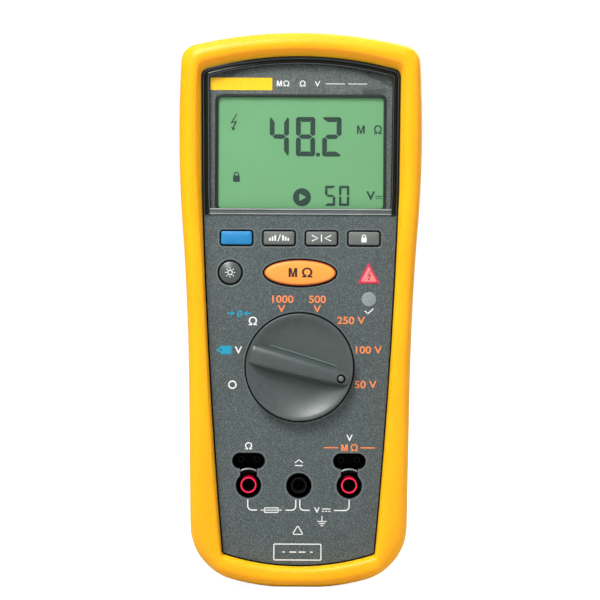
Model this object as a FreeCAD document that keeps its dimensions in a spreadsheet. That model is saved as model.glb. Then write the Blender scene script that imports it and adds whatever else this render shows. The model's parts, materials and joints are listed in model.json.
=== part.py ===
"""Hand-held insulation resistance tester: a rubber boot around a two-shell case.

Frame, in millimetres: the tester stands upright on the foot of its boot. +Z runs up its length,
towards the display, -Y is the way the front panel faces, and +X is to the right of somebody who
reads the display. The origin is below the middle of the foot.

Every driving dimension is a cell of the sheet. Depths are cells that hold a place along Y, so a
front surface is negative and a back surface positive.
"""
import FreeCAD
import Part
import Sketcher
import math
import os

SIZES = {
    # Outline of the boot: half widths and heights of the points where its curves meet.
    "overall_length": 209.5,
    "foot_half": 9.0,
    "heel_half": 24.5,
    "heel_height": 2.6,
    "hip_half": 41.0,
    "hip_height": 22.5,
    "waist_half": 41.6,
    "waist_height": 62.0,
    "flank_half": 44.1,
    "flank_height": 131.0,
    "shoulder_half": 45.3,
    "shoulder_height": 199.4,
    "brow_half": 41.0,
    "brow_height": 204.6,
    "heel_radius": 80.0,
    "hip_radius": 21.0,
    "waist_radius": 990.0,
    "flank_radius": 487.0,
    "shoulder_radius": 5.64,
    # Opening in the front of the boot.
    "opening_low": 7.8,
    "chin_half": 28.3,
    "chin_height": 12.3,
    "jaw_half": 29.0,
    "jaw_height": 13.9,
    "jaw_radius": 1.5,
    "cheek_half": 37.3,
    "cheek_height": 150.0,
    "cheek_radius": 2400.0,
    "temple_half": 37.7,
    "temple_height": 192.0,
    "temple_radius": 3.5,
    "hairline_half": 35.6,
    "hairline_height": 195.8,
    "opening_high": 200.5,
    # Depths, from the front of the knob to the back of the boot.
    "knob_front": -25.0,
    "rim_front": -24.0,
    "key_front": -20.3,
    "lens_front": -19.9,
    "face_front": -19.5,
    "seat_floor": -17.9,
    "face_back": -17.0,
    "board_front": -12.1,
    "board_back": -10.5,
    "parting": 4.0,
    "tray_floor": 5.6,
    "tray_rim": 20.6,
    "door_inner": 21.0,
    "back_inner": 20.5,
    "back_outer": 23.0,
    "boot_back": 25.0,
    # Walls and gaps.
    "boot_wall": 5.0,
    "boot_back_lip": 8.0,
    "case_wall": 2.5,
    "rim_round": 5.0,
    "rim_inner_round": 2.0,
    "back_round": 5.0,
    "key_gap": 0.4,
    "running_gap": 0.05,
    "overcut": 1.0,
    # Fastenings.
    "post_radius": 3.4,
    "case_screw_radius": 1.45,
    "case_screw_reach": 10.0,
    "case_pilot_reach": 12.0,
    "case_screw_clearance": 1.7,
    "case_head_radius": 2.6,
    "case_head_sink": 2.6,
    "case_head_top": 0.8,
    "case_head_well": 2.9,
    "cross_half_length": 1.5,
    "cross_half_width": 0.3,
    "cross_depth": 1.1,
    "board_post_radius": 2.4,
    "board_screw_radius": 1.05,
    "board_screw_reach": 3.0,
    "board_pilot_reach": 3.5,
    "board_screw_clearance": 1.3,
    "board_head_radius": 2.2,
    "board_head_height": 1.5,
    "gasket_inset": 0.8,
    "gasket_width": 0.9,
    "gasket_depth": 0.8,
    # Rating label.
    "label_half": 25.0,
    "label_low": 171.5,
    "label_high": 189.5,
    "label_corner": 1.5,
    "label_thickness": 0.15,
    # Display.
    "window_half": 36.95,
    "window_low": 140.6,
    "bezel_width": 3.0,
    "bezel_tuck": 0.8,
    "screen_half": 31.3,
    "screen_low": 143.1,
    "screen_high": 185.2,
    "screen_margin": 1.0,
    "bezel_step": 0.35,
    "bezel_step_inset": 1.0,
    "mask_thickness": 0.2,
    "mask_corner": 1.5,
    "glass_thickness": 2.0,
    "glass_side_margin": 1.9,
    "glass_top_margin": 2.2,
    "guide_thickness": 2.0,
    "guide_lift": 1.4,
    "zebra_low": 1.7,
    "zebra_high": 0.9,
    "zebra_x": 16.0,
    "zebra_half": 14.0,
    "holder_wall": 1.2,
    "holder_foot": 1.0,
    "holder_brow": 1.1,
    # Keys.
    "key_height": 131.8,
    "key_half_pitch": 8.025,
    "key_half": 5.8,
    "key_half_high": 2.5,
    "key_corner": 0.7,
    "key_flange": 1.1,
    "shelf_gap": 0.2,
    "shelf_thickness": 1.1,
    "lamp_key_rise": 0.3,
    "test_rise": 0.5,
    "mat_thickness": 0.8,
    "mat_low": 113.7,
    "mat_middle": 128.4,
    "mat_row_low": 128.2,
    "mat_row_high": 135.4,
    "mat_row_half": 32.0,
    "mat_lamp_half": 4.5,
    "mat_lamp_x": -25.9,
    "mat_test_half": 14.0,
    "dome_height": 1.2,
    "dome_radius": 2.2,
    "test_dome_height": 0.8,
    "test_dome_radius": 3.2,
    "dome_root": 0.2,
    "button_height": 118.7,
    "lamp_key_x": -26.4,
    "lamp_key_radius": 4.2,
    "test_half": 13.5,
    "test_half_high": 4.8,
    "alarm_x": 26.0,
    "alarm_half": 3.9,
    "alarm_low": 115.0,
    "alarm_high": 122.3,
    "pass_x": 26.1,
    "pass_height": 108.8,
    "pass_radius": 2.8,
    "lens_rise": 0.3,
    "lens_flange": 0.9,
    "alarm_flange": 0.8,
    "flange_thickness": 1.2,
    "diode_gap": 0.5,
    "diode_radius": 1.5,
    "diode_lift": 2.8,
    # Selector knob.
    "knob_height": 83.1,
    "knob_radius": 20.2,
    "knob_back": -19.8,
    "knob_rim": -22.6,
    "knob_dish": -21.0,
    "grip_angle": -15.0,
    "knob_rim_width": 2.4,
    "grip_tail_half": 4.9,
    "grip_nose_half": 3.3,
    "seal_thickness": 0.6,
    "spindle_radius": 4.0,
    "rotor_radius": 15.0,
    "rim_chamfer": 1.3,
    "rim_drop": 1.0,
    "grip_root": 0.3,
    "grip_end_gap": 0.3,
    "pointer_sink": 0.15,
    "pointer_depth": 1.0,
    "seal_gap": 0.2,
    "rotor_gap": 0.3,
    "wiper_height": 1.3,
    "wiper_gap": 0.2,
    "wiper_radius": 1.2,
    "wiper_inset": 4.5,
    "notch_radius": 1.5,
    "notch_offset": 0.6,
    "roller_radius": 1.4,
    "leaf_half": 7.0,
    "leaf_lift": 2.4,
    "leaf_thickness": 0.8,
    "spindle_end": 1.0,
    "spindle_clearance": 0.5,
    "pointer_reach": 16.2,
    "pointer_radius": 1.6,
    # Sockets for the test leads.
    "jack_pitch": 19.05,
    "jack_height": 38.3,
    "jack_well_radius": 4.8,
    "jack_sleeve_radius": 3.1,
    "jack_bore_radius": 2.0,
    "jack_well_floor": -5.0,
    "sleeve_wall": 0.6,
    "socket_front": -17.0,
    "port_height": 47.6,
    "port_half": 6.2,
    "port_half_high": 3.05,
    "port_neck_half": 3.2,
    "port_floor": -9.0,
    "port_pin_reach": 3.0,
    "port_round_gap": 0.05,
    "port_pin_radius": 1.3,
    "port_pin_bore": 0.75,
    "port_pin_length": 4.0,
    "port_pin_rise": 2.5,
    "lip_length": 1.2,
    "barrel_length": 6.0,
    "barrel_bore_length": 4.0,
    "jack_block_floor": 3.0,
    "jack_block_side": 2.6,
    "jack_block_low": 8.7,
    "jack_block_high": 6.4,
    # Batteries and fuse.
    "cell_radius": 7.25,
    "cell_length": 50.5,
    "cell_pitch": 14.6,
    "cell_low": 22.6,
    "tray_half": 30.7,
    "tray_low": 18.6,
    "tray_high": 87.0,
    "tray_wall": 1.3,
    "fuse_height": 81.6,
    "fuse_radius": 3.15,
    "fuse_length": 32.0,
    "fuse_depth": 16.4,
    "chamber_margin": 2.7,
    "cell_cap_length": 1.0,
    "cell_cap_radius": 2.7,
    "cell_float": 0.2,
    "plate_thickness": 0.4,
    "plate_half": 6.0,
    "spring_radius": 3.6,
    "spring_bore": 2.4,
    "stud_radius": 1.8,
    "fuse_cap_length": 5.0,
    "fuse_wall_step": 0.15,
    "fuse_bay_half": 4.3,
    "fuse_bay_width": 18.2,
    "fuse_floor": 6.4,
    "clip_inset": 1.0,
    "clip_rise": 1.4,
    "clip_half": 3.9,
    # Battery door and its locks.
    "door_gap": 0.3,
    "door_reveal": 1.0,
    "door_corner": 2.7,
    "opening_corner": 3.0,
    "door_rib_half": 9.0,
    "door_rib_root": 0.5,
    "door_rib_height": 0.6,
    "door_rib_low": 26.0,
    "door_rib_pitch": 3.0,
    "door_rib_half_width": 0.6,
    "door_seal_width": 0.8,
    "door_seal_corner": 2.0,
    "door_seal_gap": 0.1,
    "lock_tip": 14.0,
    "lock_x": 25.2,
    "lock_radius": 3.6,
    "lock_well_gap": 0.6,
    "lock_well_floor": 1.0,
    "lock_head_depth": 1.4,
    "lock_head_gap": 0.1,
    "lock_head_lift": 0.05,
    "lock_shank_radius": 1.8,
    "lock_hole_radius": 1.9,
    "lock_foot_half": 3.4,
    "lock_foot_half_high": 1.2,
    "lock_foot_thickness": 1.3,
    "lock_slot_half": 2.9,
    "lock_slot_half_high": 0.55,
    "lock_slot_depth": 0.9,
    # Tilt stand on the back.
    "stand_half": 21.0,
    "stand_low": 98.0,
    "hinge_height": 160.0,
    "hinge_depth": 20.6,
    "hinge_radius": 2.2,
    "stand_front": 20.0,
    "stand_back": 22.8,
    "stand_floor": 18.0,
    "stand_pin_radius": 1.0,
    "stand_pin_overhang": 2.0,
    "stand_corner": 2.0,
    "stand_top_gap": 1.0,
    "stand_side": 7.5,
    "stand_bar": 9.0,
    "stand_window_corner": 3.0,
    "recess_gap": 0.5,
    "recess_corner": 1.0,
    "backing_margin": 2.4,
    "backing_thickness": 1.6,
    "backing_drop": 5.0,
    "wall_overlap": 0.5,
    "notch_height": 1.0,
    "notch_reach": 7.0,
    # Circuit board.
    "board_half": 35.6,
    "board_high": 188.8,
    "board_low": 57.0,
    "board_low_half": 32.8,
    "board_bend_half": 33.4,
    "board_bend_height": 90.0,
    "board_step_height": 124.0,
    "transformer_x": 17.5,
    "transformer_half": 9.5,
    "transformer_low": 104.0,
    "transformer_high": 126.0,
    "transformer_height": 12.0,
    "winding_low": 108.0,
    "winding_high": 122.0,
    "winding_depth": 7.8,
    "winding_radius": 7.6,
    "capacitor_x": -24.0,
    "capacitor_pitch": 11.0,
    "capacitor_z": 134.0,
    "capacitor_height": 11.0,
    "capacitor_radius": 4.6,
    "relay_left": -29.0,
    "relay_width": 10.0,
    "relay_pitch": 13.0,
    "relay_low": 100.0,
    "relay_high": 120.0,
    "relay_height": 9.5,
    "beeper_x": 22.0,
    "beeper_z": 176.0,
    "beeper_height": 6.0,
    "beeper_radius": 7.0,
    "beeper_bore": 1.0,
}

# Chips as (left, right), (low, high) and height above the board.
CHIPS = {
    "logic_chip": ((-8.0, 6.0), (146.0, 160.0), 1.4),
    "meter_chip": ((-24.0, -14.0), (150.0, 160.0), 1.4),
    "driver_chip": ((12.0, 18.0), (138.0, 147.0), 1.6),
}

Y_AXIS_TURN = FreeCAD.Rotation(FreeCAD.Vector(1, 0, 0), -90)
X_AXIS_TURN = FreeCAD.Rotation(FreeCAD.Vector(0, 1, 0), 90)
TURNS = {"x": X_AXIS_TURN, "y": Y_AXIS_TURN, "z": FreeCAD.Rotation()}

doc = FreeCAD.newDocument("insulation_tester")
nodes = []


class Length:
    """A number together with the sheet formula that gives it."""

    def __init__(self, number, formula):
        self.number = number
        self.formula = formula

    def __float__(self):
        return float(self.number)

    def __add__(self, other):
        return Length(float(self) + float(other), f"({formula(self)} + {formula(other)})")

    def __sub__(self, other):
        return Length(float(self) - float(other), f"({formula(self)} - {formula(other)})")

    def __mul__(self, other):
        return Length(float(self) * float(other), f"({formula(self)} * {formula(other)})")

    def __truediv__(self, other):
        return Length(float(self) / float(other), f"({formula(self)} / {formula(other)})")

    def __radd__(self, other):
        return Length(other, str(other)) + self

    def __rsub__(self, other):
        return Length(other, str(other)) - self

    def __rmul__(self, other):
        return Length(other, str(other)) * self

    def __neg__(self):
        return 0 - self


class Sizes:
    """The sheet's sizes by name, such as size.case_wall."""

    def __getattr__(self, name):
        return Length(SIZES[name], f"sizes.{name}")


size = Sizes()


def formula(length):
    """The text that setExpression takes for a length or a plain number."""
    return length.formula if isinstance(length, Length) else str(length)


def fill_sheet():
    """Writes each driving dimension to a cell of its own, with an alias."""
    sheet = doc.addObject("Spreadsheet::Sheet", "sizes")
    for row, (name, number) in enumerate(SIZES.items(), start=1):
        sheet.set(f"A{row}", name)
        sheet.set(f"B{row}", str(number))
        sheet.setAlias(f"B{row}", name)
    doc.recompute()


# Shapes that the sub-parts are made of.


def block(name, x, y, z):
    """A box between a low and a high bound along each axis."""
    box = doc.addObject("Part::Box", name)
    for side, (low, high) in zip(("Length", "Width", "Height"), (x, y, z)):
        box.setExpression(side, formula(high - low))
    place(box, x[0], y[0], z[0])
    return box


def place(thing, x, y, z):
    """Binds where a primitive's own origin lies."""
    for axis, bound in zip("xyz", (x, y, z)):
        thing.setExpression(f"Placement.Base.{axis}", formula(bound))


def rod(name, axis, centre, span, radius):
    """A cylinder along an axis. centre gives the other two coordinates, in order."""
    cylinder = doc.addObject("Part::Cylinder", name)
    cylinder.Placement.Rotation = TURNS[axis]
    cylinder.setExpression("Radius", formula(radius))
    cylinder.setExpression("Height", formula(span[1] - span[0]))
    corner = list(centre)
    corner.insert("xyz".index(axis), span[0])
    place(cylinder, *corner)
    return cylinder


def tube(name, axis, centre, span, radius, bore):
    """A cylinder with a hole right through it."""
    outside = rod(f"{name}_outside", axis, centre, span, radius)
    inside = rod(f"{name}_bore", axis, centre, beyond(span), bore)
    return cut(name, outside, [inside])


def beyond(span):
    """A span that overshoots at both ends, for a tool that cuts right through."""
    return span[0] - size.overcut, span[1] + size.overcut


def fuse(name, pieces):
    """Pieces joined into one shape."""
    joined = doc.addObject("Part::MultiFuse", name)
    joined.Shapes = pieces
    joined.Refine = True
    return joined


def cut(name, base, tools):
    """The base with each tool's space taken out."""
    remaining = doc.addObject("Part::Cut", name)
    remaining.Base = base
    remaining.Tool = tools[0] if len(tools) == 1 else fuse(f"{name}_tools", tools)
    remaining.Refine = True
    return remaining


def group(name, pieces):
    """Separate solids that share one node."""
    together = doc.addObject("Part::Compound", name)
    together.Links = pieces
    return together


def node(thing, name):
    """Names a finished sub-part. The name is its label and its file."""
    thing.Label = name
    nodes.append(thing)
    return thing


def slab(name, loops, span):
    """A plate across Y with the given loops as its outline and its holes."""
    body = doc.addObject("PartDesign::Body", name)
    sketch = body.newObject("Sketcher::SketchObject", f"{name}_sketch")
    sketch.AttachmentSupport = [(origin_plane(body, "XZ_Plane"), "")]
    sketch.MapMode = "FlatFace"
    sketch.setExpression("AttachmentOffset.Base.z", formula(-span[1]))
    for loop in loops:
        draw(sketch, loop)
    pad = body.newObject("PartDesign::Pad", f"{name}_pad")
    pad.Profile = sketch
    pad.setExpression("Length", formula(span[1] - span[0]))
    return body


def origin_plane(body, role):
    """One of a body's own origin planes."""
    return next(feature for feature in body.Origin.OriginFeatures if feature.Role == role)


def draw(sketch, loop):
    """Draws a closed loop of corners, each bound to the sheet.

    A corner is (x, z, bend): bend is the radius of the arc that leads to the next corner,
    negative where the arc is hollow, or None for a straight edge. Loops run anticlockwise.
    """
    edges = []
    for index, (x, z, bend) in enumerate(loop):
        end = loop[(index + 1) % len(loop)]
        edges.append(add_edge(sketch, (x, z), end[:2], bend))
    for index, (x, z, bend) in enumerate(loop):
        number, first, last = edges[index]
        following, next_first, next_last = edges[(index + 1) % len(loop)]
        sketch.addConstraint(Sketcher.Constraint("Coincident", number, last, following, next_first))
        pin_point(sketch, number, first, x, z)
        if bend is not None:
            radius = abs(float(bend))
            row = sketch.addConstraint(Sketcher.Constraint("Radius", number, radius))
            text = formula(bend) if float(bend) > 0 else formula(-bend)
            sketch.setExpression(f"Constraints[{row}]", text)


def pin_point(sketch, number, end, x, z):
    """Binds a point of the sketch to its place on the sheet."""
    for kind, axis, bound in (("DistanceX", -2, x), ("DistanceY", -1, z)):
        if abs(float(bound)) < 1e-9:
            sketch.addConstraint(Sketcher.Constraint("PointOnObject", number, end, axis))
            continue
        row = sketch.addConstraint(Sketcher.Constraint(kind, number, end, float(bound)))
        sketch.setExpression(f"Constraints[{row}]", formula(bound))


def add_edge(sketch, start, end, bend):
    """Adds a line or an arc and says which of its ends is the start."""
    first = FreeCAD.Vector(float(start[0]), float(start[1]), 0)
    second = FreeCAD.Vector(float(end[0]), float(end[1]), 0)
    if bend is None:
        return sketch.addGeometry(Part.LineSegment(first, second), False), 1, 2
    radius = abs(float(bend))
    chord = second - first
    rise = math.sqrt(radius ** 2 - (chord.Length / 2) ** 2)
    left = FreeCAD.Vector(-chord.y, chord.x, 0).normalize()
    hollow = float(bend) < 0
    centre = (first + second) / 2 + left * (-rise if hollow else rise)
    circle = Part.Circle(centre, FreeCAD.Vector(0, 0, 1), radius)
    angles = [math.atan2(point.y - centre.y, point.x - centre.x) for point in (first, second)]
    if hollow:
        angles.reverse()
    if angles[1] < angles[0]:
        angles[1] += 2 * math.pi
    number = sketch.addGeometry(Part.ArcOfCircle(circle, *angles), False)
    return (number, 2, 1) if hollow else (number, 1, 2)


def mirrored_loop(right_side, low_bend, high_bend):
    """A loop from its right half, which climbs, and the bends that cross the middle."""
    corners = list(right_side)
    corners[-1] = (corners[-1][0], corners[-1][1], high_bend)
    bends = [corner[2] for corner in right_side[:-1]][::-1] + [low_bend]
    for (x, z, _), bend in zip(right_side[::-1], bends):
        corners.append((-x, z, bend))
    return corners


def crown_radius(half_chord, rise):
    """Radius of the arc with this half chord and this height."""
    return (half_chord * half_chord + rise * rise) / (2 * rise)


def boot_loop(inset):
    """The boot's outline, or a line that runs inside it by about the inset."""
    right_side = [
        (size.foot_half, inset + 0, size.heel_radius),
        (size.heel_half - inset / 2, size.heel_height + inset, size.hip_radius - inset),
        (size.hip_half - inset, size.hip_height + 0, None),
        (size.waist_half - inset, size.waist_height + 0, -size.waist_radius),
        (size.flank_half - inset, size.flank_height + 0, size.flank_radius),
        (size.shoulder_half - inset, size.shoulder_height - inset, size.shoulder_radius),
        (size.brow_half - inset, size.brow_height - inset, None),
    ]
    top = crown_radius(size.brow_half - inset, size.overall_length - size.brow_height)
    return mirrored_loop(right_side, None, top)


def opening_loop(inset):
    """The edge of the boot's front opening, or a line inside it."""
    right_side = [
        (size.chin_half - inset, size.chin_height + inset, size.jaw_radius),
        (size.jaw_half - inset, size.jaw_height + inset, size.cheek_radius),
        (size.cheek_half - inset, size.cheek_height + 0, None),
        (size.temple_half - inset, size.temple_height - inset, size.temple_radius),
        (size.hairline_half - inset, size.hairline_height - inset, None),
    ]
    low = crown_radius(size.chin_half - inset, size.chin_height - size.opening_low)
    high = crown_radius(size.hairline_half - inset, size.opening_high - size.hairline_height)
    return mirrored_loop(right_side, low, high)


def window_loop(inset, low):
    """The display window: the top of the opening, closed by a straight edge below."""
    right_side = [
        (size.window_half - inset, low, None),
        (size.temple_half - inset, size.temple_height - inset, size.temple_radius),
        (size.hairline_half - inset, size.hairline_height - inset, None),
    ]
    high = crown_radius(size.hairline_half - inset, size.opening_high - size.hairline_height)
    return mirrored_loop(right_side, None, high)


def rounded_loop(x, z, radius):
    """A rectangle between two bounds each way, with round corners."""
    left, right = x
    low, high = z
    return [
        (left + radius, low, None),
        (right - radius, low, radius),
        (right, low + radius, None),
        (right, high - radius, radius),
        (right - radius, high, None),
        (left + radius, high, radius),
        (left, high - radius, None),
        (left, low + radius, radius),
    ]


def both_sides(distance):
    """The same distance to the left and to the right."""
    return -distance, distance + 0


def around(middle, half):
    """Bounds at half a width each side of a middle."""
    return middle - half, middle + half


# Boot and case.


def make_holster():
    """Rubber boot: a band round the case with a lip over its front and its back."""
    blank = slab("holster_blank", [boot_loop(0)], (size.rim_front, size.boot_back))
    doc.recompute()
    round_edges(blank, size.rim_front, "rim_round")
    round_edges(blank, size.boot_back, "back_round")
    cavity = slab("holster_cavity", [boot_loop(size.boot_wall)], (size.face_front, size.back_outer))
    front = slab("holster_front", [opening_loop(0)], beyond((size.rim_front, size.face_front)))
    rear = slab("holster_rear", [boot_loop(size.boot_back_lip)], beyond((size.back_outer, size.boot_back)))
    flare = slab("holster_flare", [opening_loop(0)], (size.rim_front, size.rim_front + size.rim_inner_round))
    flare.Tip.TaperAngle = RIM_FLARE
    return node(cut("holster_solid", blank, [cavity, front, rear, flare]), "holster")


def edges_at(shape, depth):
    """Numbers of the edges that lie at one depth."""
    flat = []
    for number, edge in enumerate(shape.Edges, start=1):
        bounds = edge.BoundBox
        if max(abs(bounds.YMin - float(depth)), abs(bounds.YMax - float(depth))) < 1e-4:
            flat.append(number)
    return flat


def round_edges(body, depth, radius_name):
    """Rounds every edge of a body at one depth."""
    base = body.Tip
    rounding = body.newObject("PartDesign::Fillet", f"{body.Name}_{radius_name}")
    rounding.Base = (base, [f"Edge{number}" for number in edges_at(base.Shape, depth)])
    rounding.setExpression("Radius", f"sizes.{radius_name}")
    doc.recompute()


CASE_SCREWS = [(33.0, 193.5), (-33.0, 193.5), (19.0, 13.7), (-19.0, 13.7)]
BOARD_SCREWS = [(33.0, 124.0), (-33.0, 124.0), (30.8, 63.5), (-30.8, 63.5)]
RIM_FLARE = 35.0
ALARM_SPREAD = 1.7
DETENTS = 12
WIPERS = 3
CELLS = 4
DOOR_RIBS = 3
GRIP_DRAFT = 14.0
GRIP_TURN = FreeCAD.Rotation(FreeCAD.Vector(0, 1, 0), -SIZES["grip_angle"])
JACKS = ((-1, "left"), (0, "common"), (1, "right"))
KEYS = ("function_key", "ratio_key", "compare_key", "lock_key")


def key_middle(index):
    """Where a key of the row stands across the panel."""
    return (2 * index - 3) * size.key_half_pitch


def key_loop(index, spread):
    """A key's outline, grown by a distance."""
    x = around(key_middle(index), size.key_half + spread)
    z = around(size.key_height, size.key_half_high + spread)
    return rounded_loop(x, z, size.key_corner + 0)


def alarm_loop(spread):
    """The triangle of the high-voltage lamp, grown by a distance."""
    return [
        (size.alarm_x - size.alarm_half - ALARM_SPREAD * spread, size.alarm_low - spread, None),
        (size.alarm_x + size.alarm_half + ALARM_SPREAD * spread, size.alarm_low - spread, None),
        (size.alarm_x + 0, size.alarm_high + 2 * spread, None),
    ]


def oval(name, half, half_high, y):
    """An upright oval slab across Y round the test button's middle."""
    ellipse = doc.addObject("Part::Ellipse", f"{name}_rim")
    ellipse.setExpression("MajorRadius", formula(half))
    ellipse.setExpression("MinorRadius", formula(half_high))
    ellipse.Placement.Rotation = FreeCAD.Rotation(FreeCAD.Vector(1, 0, 0), 90)
    place(ellipse, 0, y[0], size.button_height)
    body = doc.addObject("Part::Extrusion", name)
    body.Base = ellipse
    body.DirMode = "Custom"
    body.Dir = FreeCAD.Vector(0, 1, 0)
    body.setExpression("LengthFwd", formula(y[1] - y[0]))
    body.Solid = True
    return body


def port(name, side, y, spread):
    """The well of a lead socket with the two-pin accessory port above it."""
    x = side * size.jack_pitch
    well = rod(f"{name}_well", "y", (x, size.jack_height), y, size.jack_well_radius + spread)
    if side == 0:
        return well
    neck = block(f"{name}_neck", around(x, size.port_neck_half + spread), y,
                 (size.jack_height, size.port_height))
    pocket = slab(f"{name}_pocket", [rounded_loop(around(x, size.port_half + spread),
                                                  around(size.port_height, size.port_half_high + spread),
                                                  size.port_half_high - size.port_round_gap)], y)
    return fuse(name, [well, neck, pocket])


def make_front_case():
    """Front shell: panel, side wall and screw posts, with an opening for each thing behind it."""
    outside = slab("front_outside", [boot_loop(size.boot_wall)], (size.face_front, size.parting))
    inside = slab("front_inside", [boot_loop(size.boot_wall + size.case_wall)],
                  (size.face_back, size.parting + size.overcut))
    through = beyond((size.face_front, size.face_back))
    seat = slab("window_seat", [window_loop(-size.bezel_tuck, size.window_low)],
                (size.face_front - size.overcut, size.seat_floor))
    screen_up = (size.screen_low - size.screen_margin, size.screen_high + size.screen_margin)
    screen = block("screen_hole", both_sides(size.screen_half + size.screen_margin), through, screen_up)
    openings = [inside, seat, screen]
    for index, name in enumerate(KEYS):
        openings.append(slab(f"{name}_hole", [key_loop(index, size.key_gap)], through))
    openings.append(rod("lamp_key_hole", "y", (size.lamp_key_x, size.button_height), through,
                        size.lamp_key_radius + size.key_gap))
    openings.append(oval("test_hole", size.test_half + size.key_gap, size.test_half_high + size.key_gap,
                         through))
    openings.append(slab("alarm_hole", [alarm_loop(0)], through))
    openings.append(rod("pass_hole", "y", (size.pass_x, size.pass_height), through, size.pass_radius))
    openings.append(rod("spindle_hole", "y", (0, size.knob_height), through,
                        size.spindle_radius + size.running_gap))
    for side, name in JACKS:
        openings.append(port(f"{name}_panel_port", side, through, 0))
    shell = cut("front_shell", outside, openings)
    post_root = size.face_back - size.wall_overlap
    posts = [rod(f"front_post_{number}", "y", middle, (post_root, size.parting), size.post_radius)
             for number, middle in enumerate(CASE_SCREWS)]
    posts += [rod(f"board_post_{number}", "y", middle, (post_root, size.board_front), size.board_post_radius)
              for number, middle in enumerate(BOARD_SCREWS)]
    solid = fuse("front_solid", [shell] + posts)
    case_pilot = (size.parting - size.case_pilot_reach, size.parting + size.overcut)
    board_pilot = (size.board_front - size.board_pilot_reach, size.board_front + size.overcut)
    holes = [rod(f"front_pilot_{number}", "y", middle, case_pilot, size.case_screw_radius)
             for number, middle in enumerate(CASE_SCREWS)]
    holes += [rod(f"board_pilot_{number}", "y", middle, board_pilot, size.board_screw_radius)
              for number, middle in enumerate(BOARD_SCREWS)]
    return node(cut("front_case_solid", solid, holes), "front_case")


def gasket_slab(name):
    """The sealing ring's space between the two shells."""
    outer = boot_loop(size.boot_wall + size.gasket_inset)
    inner = boot_loop(size.boot_wall + size.gasket_inset + size.gasket_width)
    return slab(name, [outer, inner], (size.parting, size.parting + size.gasket_depth))


def stand_span(spread):
    """Across and up bounds of the tilt stand's plate, grown by a distance."""
    top = size.hinge_height + size.hinge_radius
    return both_sides(size.stand_half + spread), (size.stand_low - spread, top + spread)


def make_rear_case():
    """Rear shell: back wall, battery opening, a recess for the stand, and its hinge ears."""
    outside = slab("rear_outside", [boot_loop(size.boot_wall)], (size.parting, size.back_outer))
    inside = slab("rear_inside", [boot_loop(size.boot_wall + size.case_wall)],
                  (size.parting - size.overcut, size.back_inner))
    shell = cut("rear_shell", outside, [inside])
    wall_root = size.back_inner + size.wall_overlap
    across, up = stand_span(size.backing_margin)
    backing = block("stand_backing", across, (size.stand_floor - size.backing_thickness, wall_root),
                    (up[0] - size.backing_drop, up[1]))
    posts = [rod(f"rear_post_{number}", "y", middle, (size.parting, wall_root), size.post_radius)
             for number, middle in enumerate(CASE_SCREWS)]
    solid = fuse("rear_solid", [shell, backing] + posts)
    outward = (size.stand_floor, size.back_outer + size.overcut)
    across, up = stand_span(size.recess_gap)
    recess = slab("stand_recess", [rounded_loop(across, up, size.recess_corner)], outward)
    notch = rod("finger_notch", "y", (0, size.stand_low + size.notch_height), outward, size.notch_reach)
    door_up = (size.tray_low - size.door_reveal, size.tray_high + size.door_reveal)
    door_hole = rounded_loop(both_sides(size.tray_half + size.door_reveal), door_up, size.opening_corner)
    opening = slab("door_opening", [door_hole], beyond((size.back_inner, size.back_outer)))
    pin = rod("stand_pin_hole", "x", (size.hinge_depth, size.hinge_height),
              both_sides(size.stand_half + size.stand_pin_overhang), size.stand_pin_radius)
    cuts = [recess, notch, opening, pin, gasket_slab("gasket_groove")]
    clearance = (size.parting - size.overcut, size.back_outer)
    well = (size.back_outer - size.case_head_sink, size.back_outer + size.overcut)
    for number, middle in enumerate(CASE_SCREWS):
        cuts.append(rod(f"screw_clearance_{number}", "y", middle, clearance, size.case_screw_clearance))
        cuts.append(rod(f"screw_counterbore_{number}", "y", middle, well, size.case_head_well))
    return node(cut("rear_case_solid", solid, cuts), "rear_case")


def make_case_fasteners():
    """Screws that close the case, with crossed heads, the seal between the shells, and the label."""
    head_seat = size.back_outer - size.case_head_sink
    head_top = size.back_outer - size.case_head_top
    cross = (head_top - size.cross_depth, size.back_outer)
    screws = []
    for number, (x, z) in enumerate(CASE_SCREWS):
        head = rod(f"case_screw_head_{number}", "y", (x, z), (head_seat, head_top), size.case_head_radius)
        shank = rod(f"case_screw_shank_{number}", "y", (x, z),
                    (size.parting - size.case_screw_reach, head_seat), size.case_screw_radius)
        screw = fuse(f"case_screw_{number}", [head, shank])
        slots = [block(f"case_screw_slot_{number}", around(x, size.cross_half_length), cross,
                       around(z, size.cross_half_width)),
                 block(f"case_screw_cross_{number}", around(x, size.cross_half_width), cross,
                       around(z, size.cross_half_length))]
        screws.append(cut(f"case_screw_driven_{number}", screw, slots))
    node(group("case_screw_set", screws), "case_screws")
    node(gasket_slab("gasket_ring"), "case_gasket")
    label = rounded_loop(both_sides(size.label_half), (size.label_low, size.label_high), size.label_corner)
    label_depth = (size.back_outer, size.back_outer + size.label_thickness)
    node(slab("label_sheet", [label], label_depth), "rating_label")


# Display.


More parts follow.
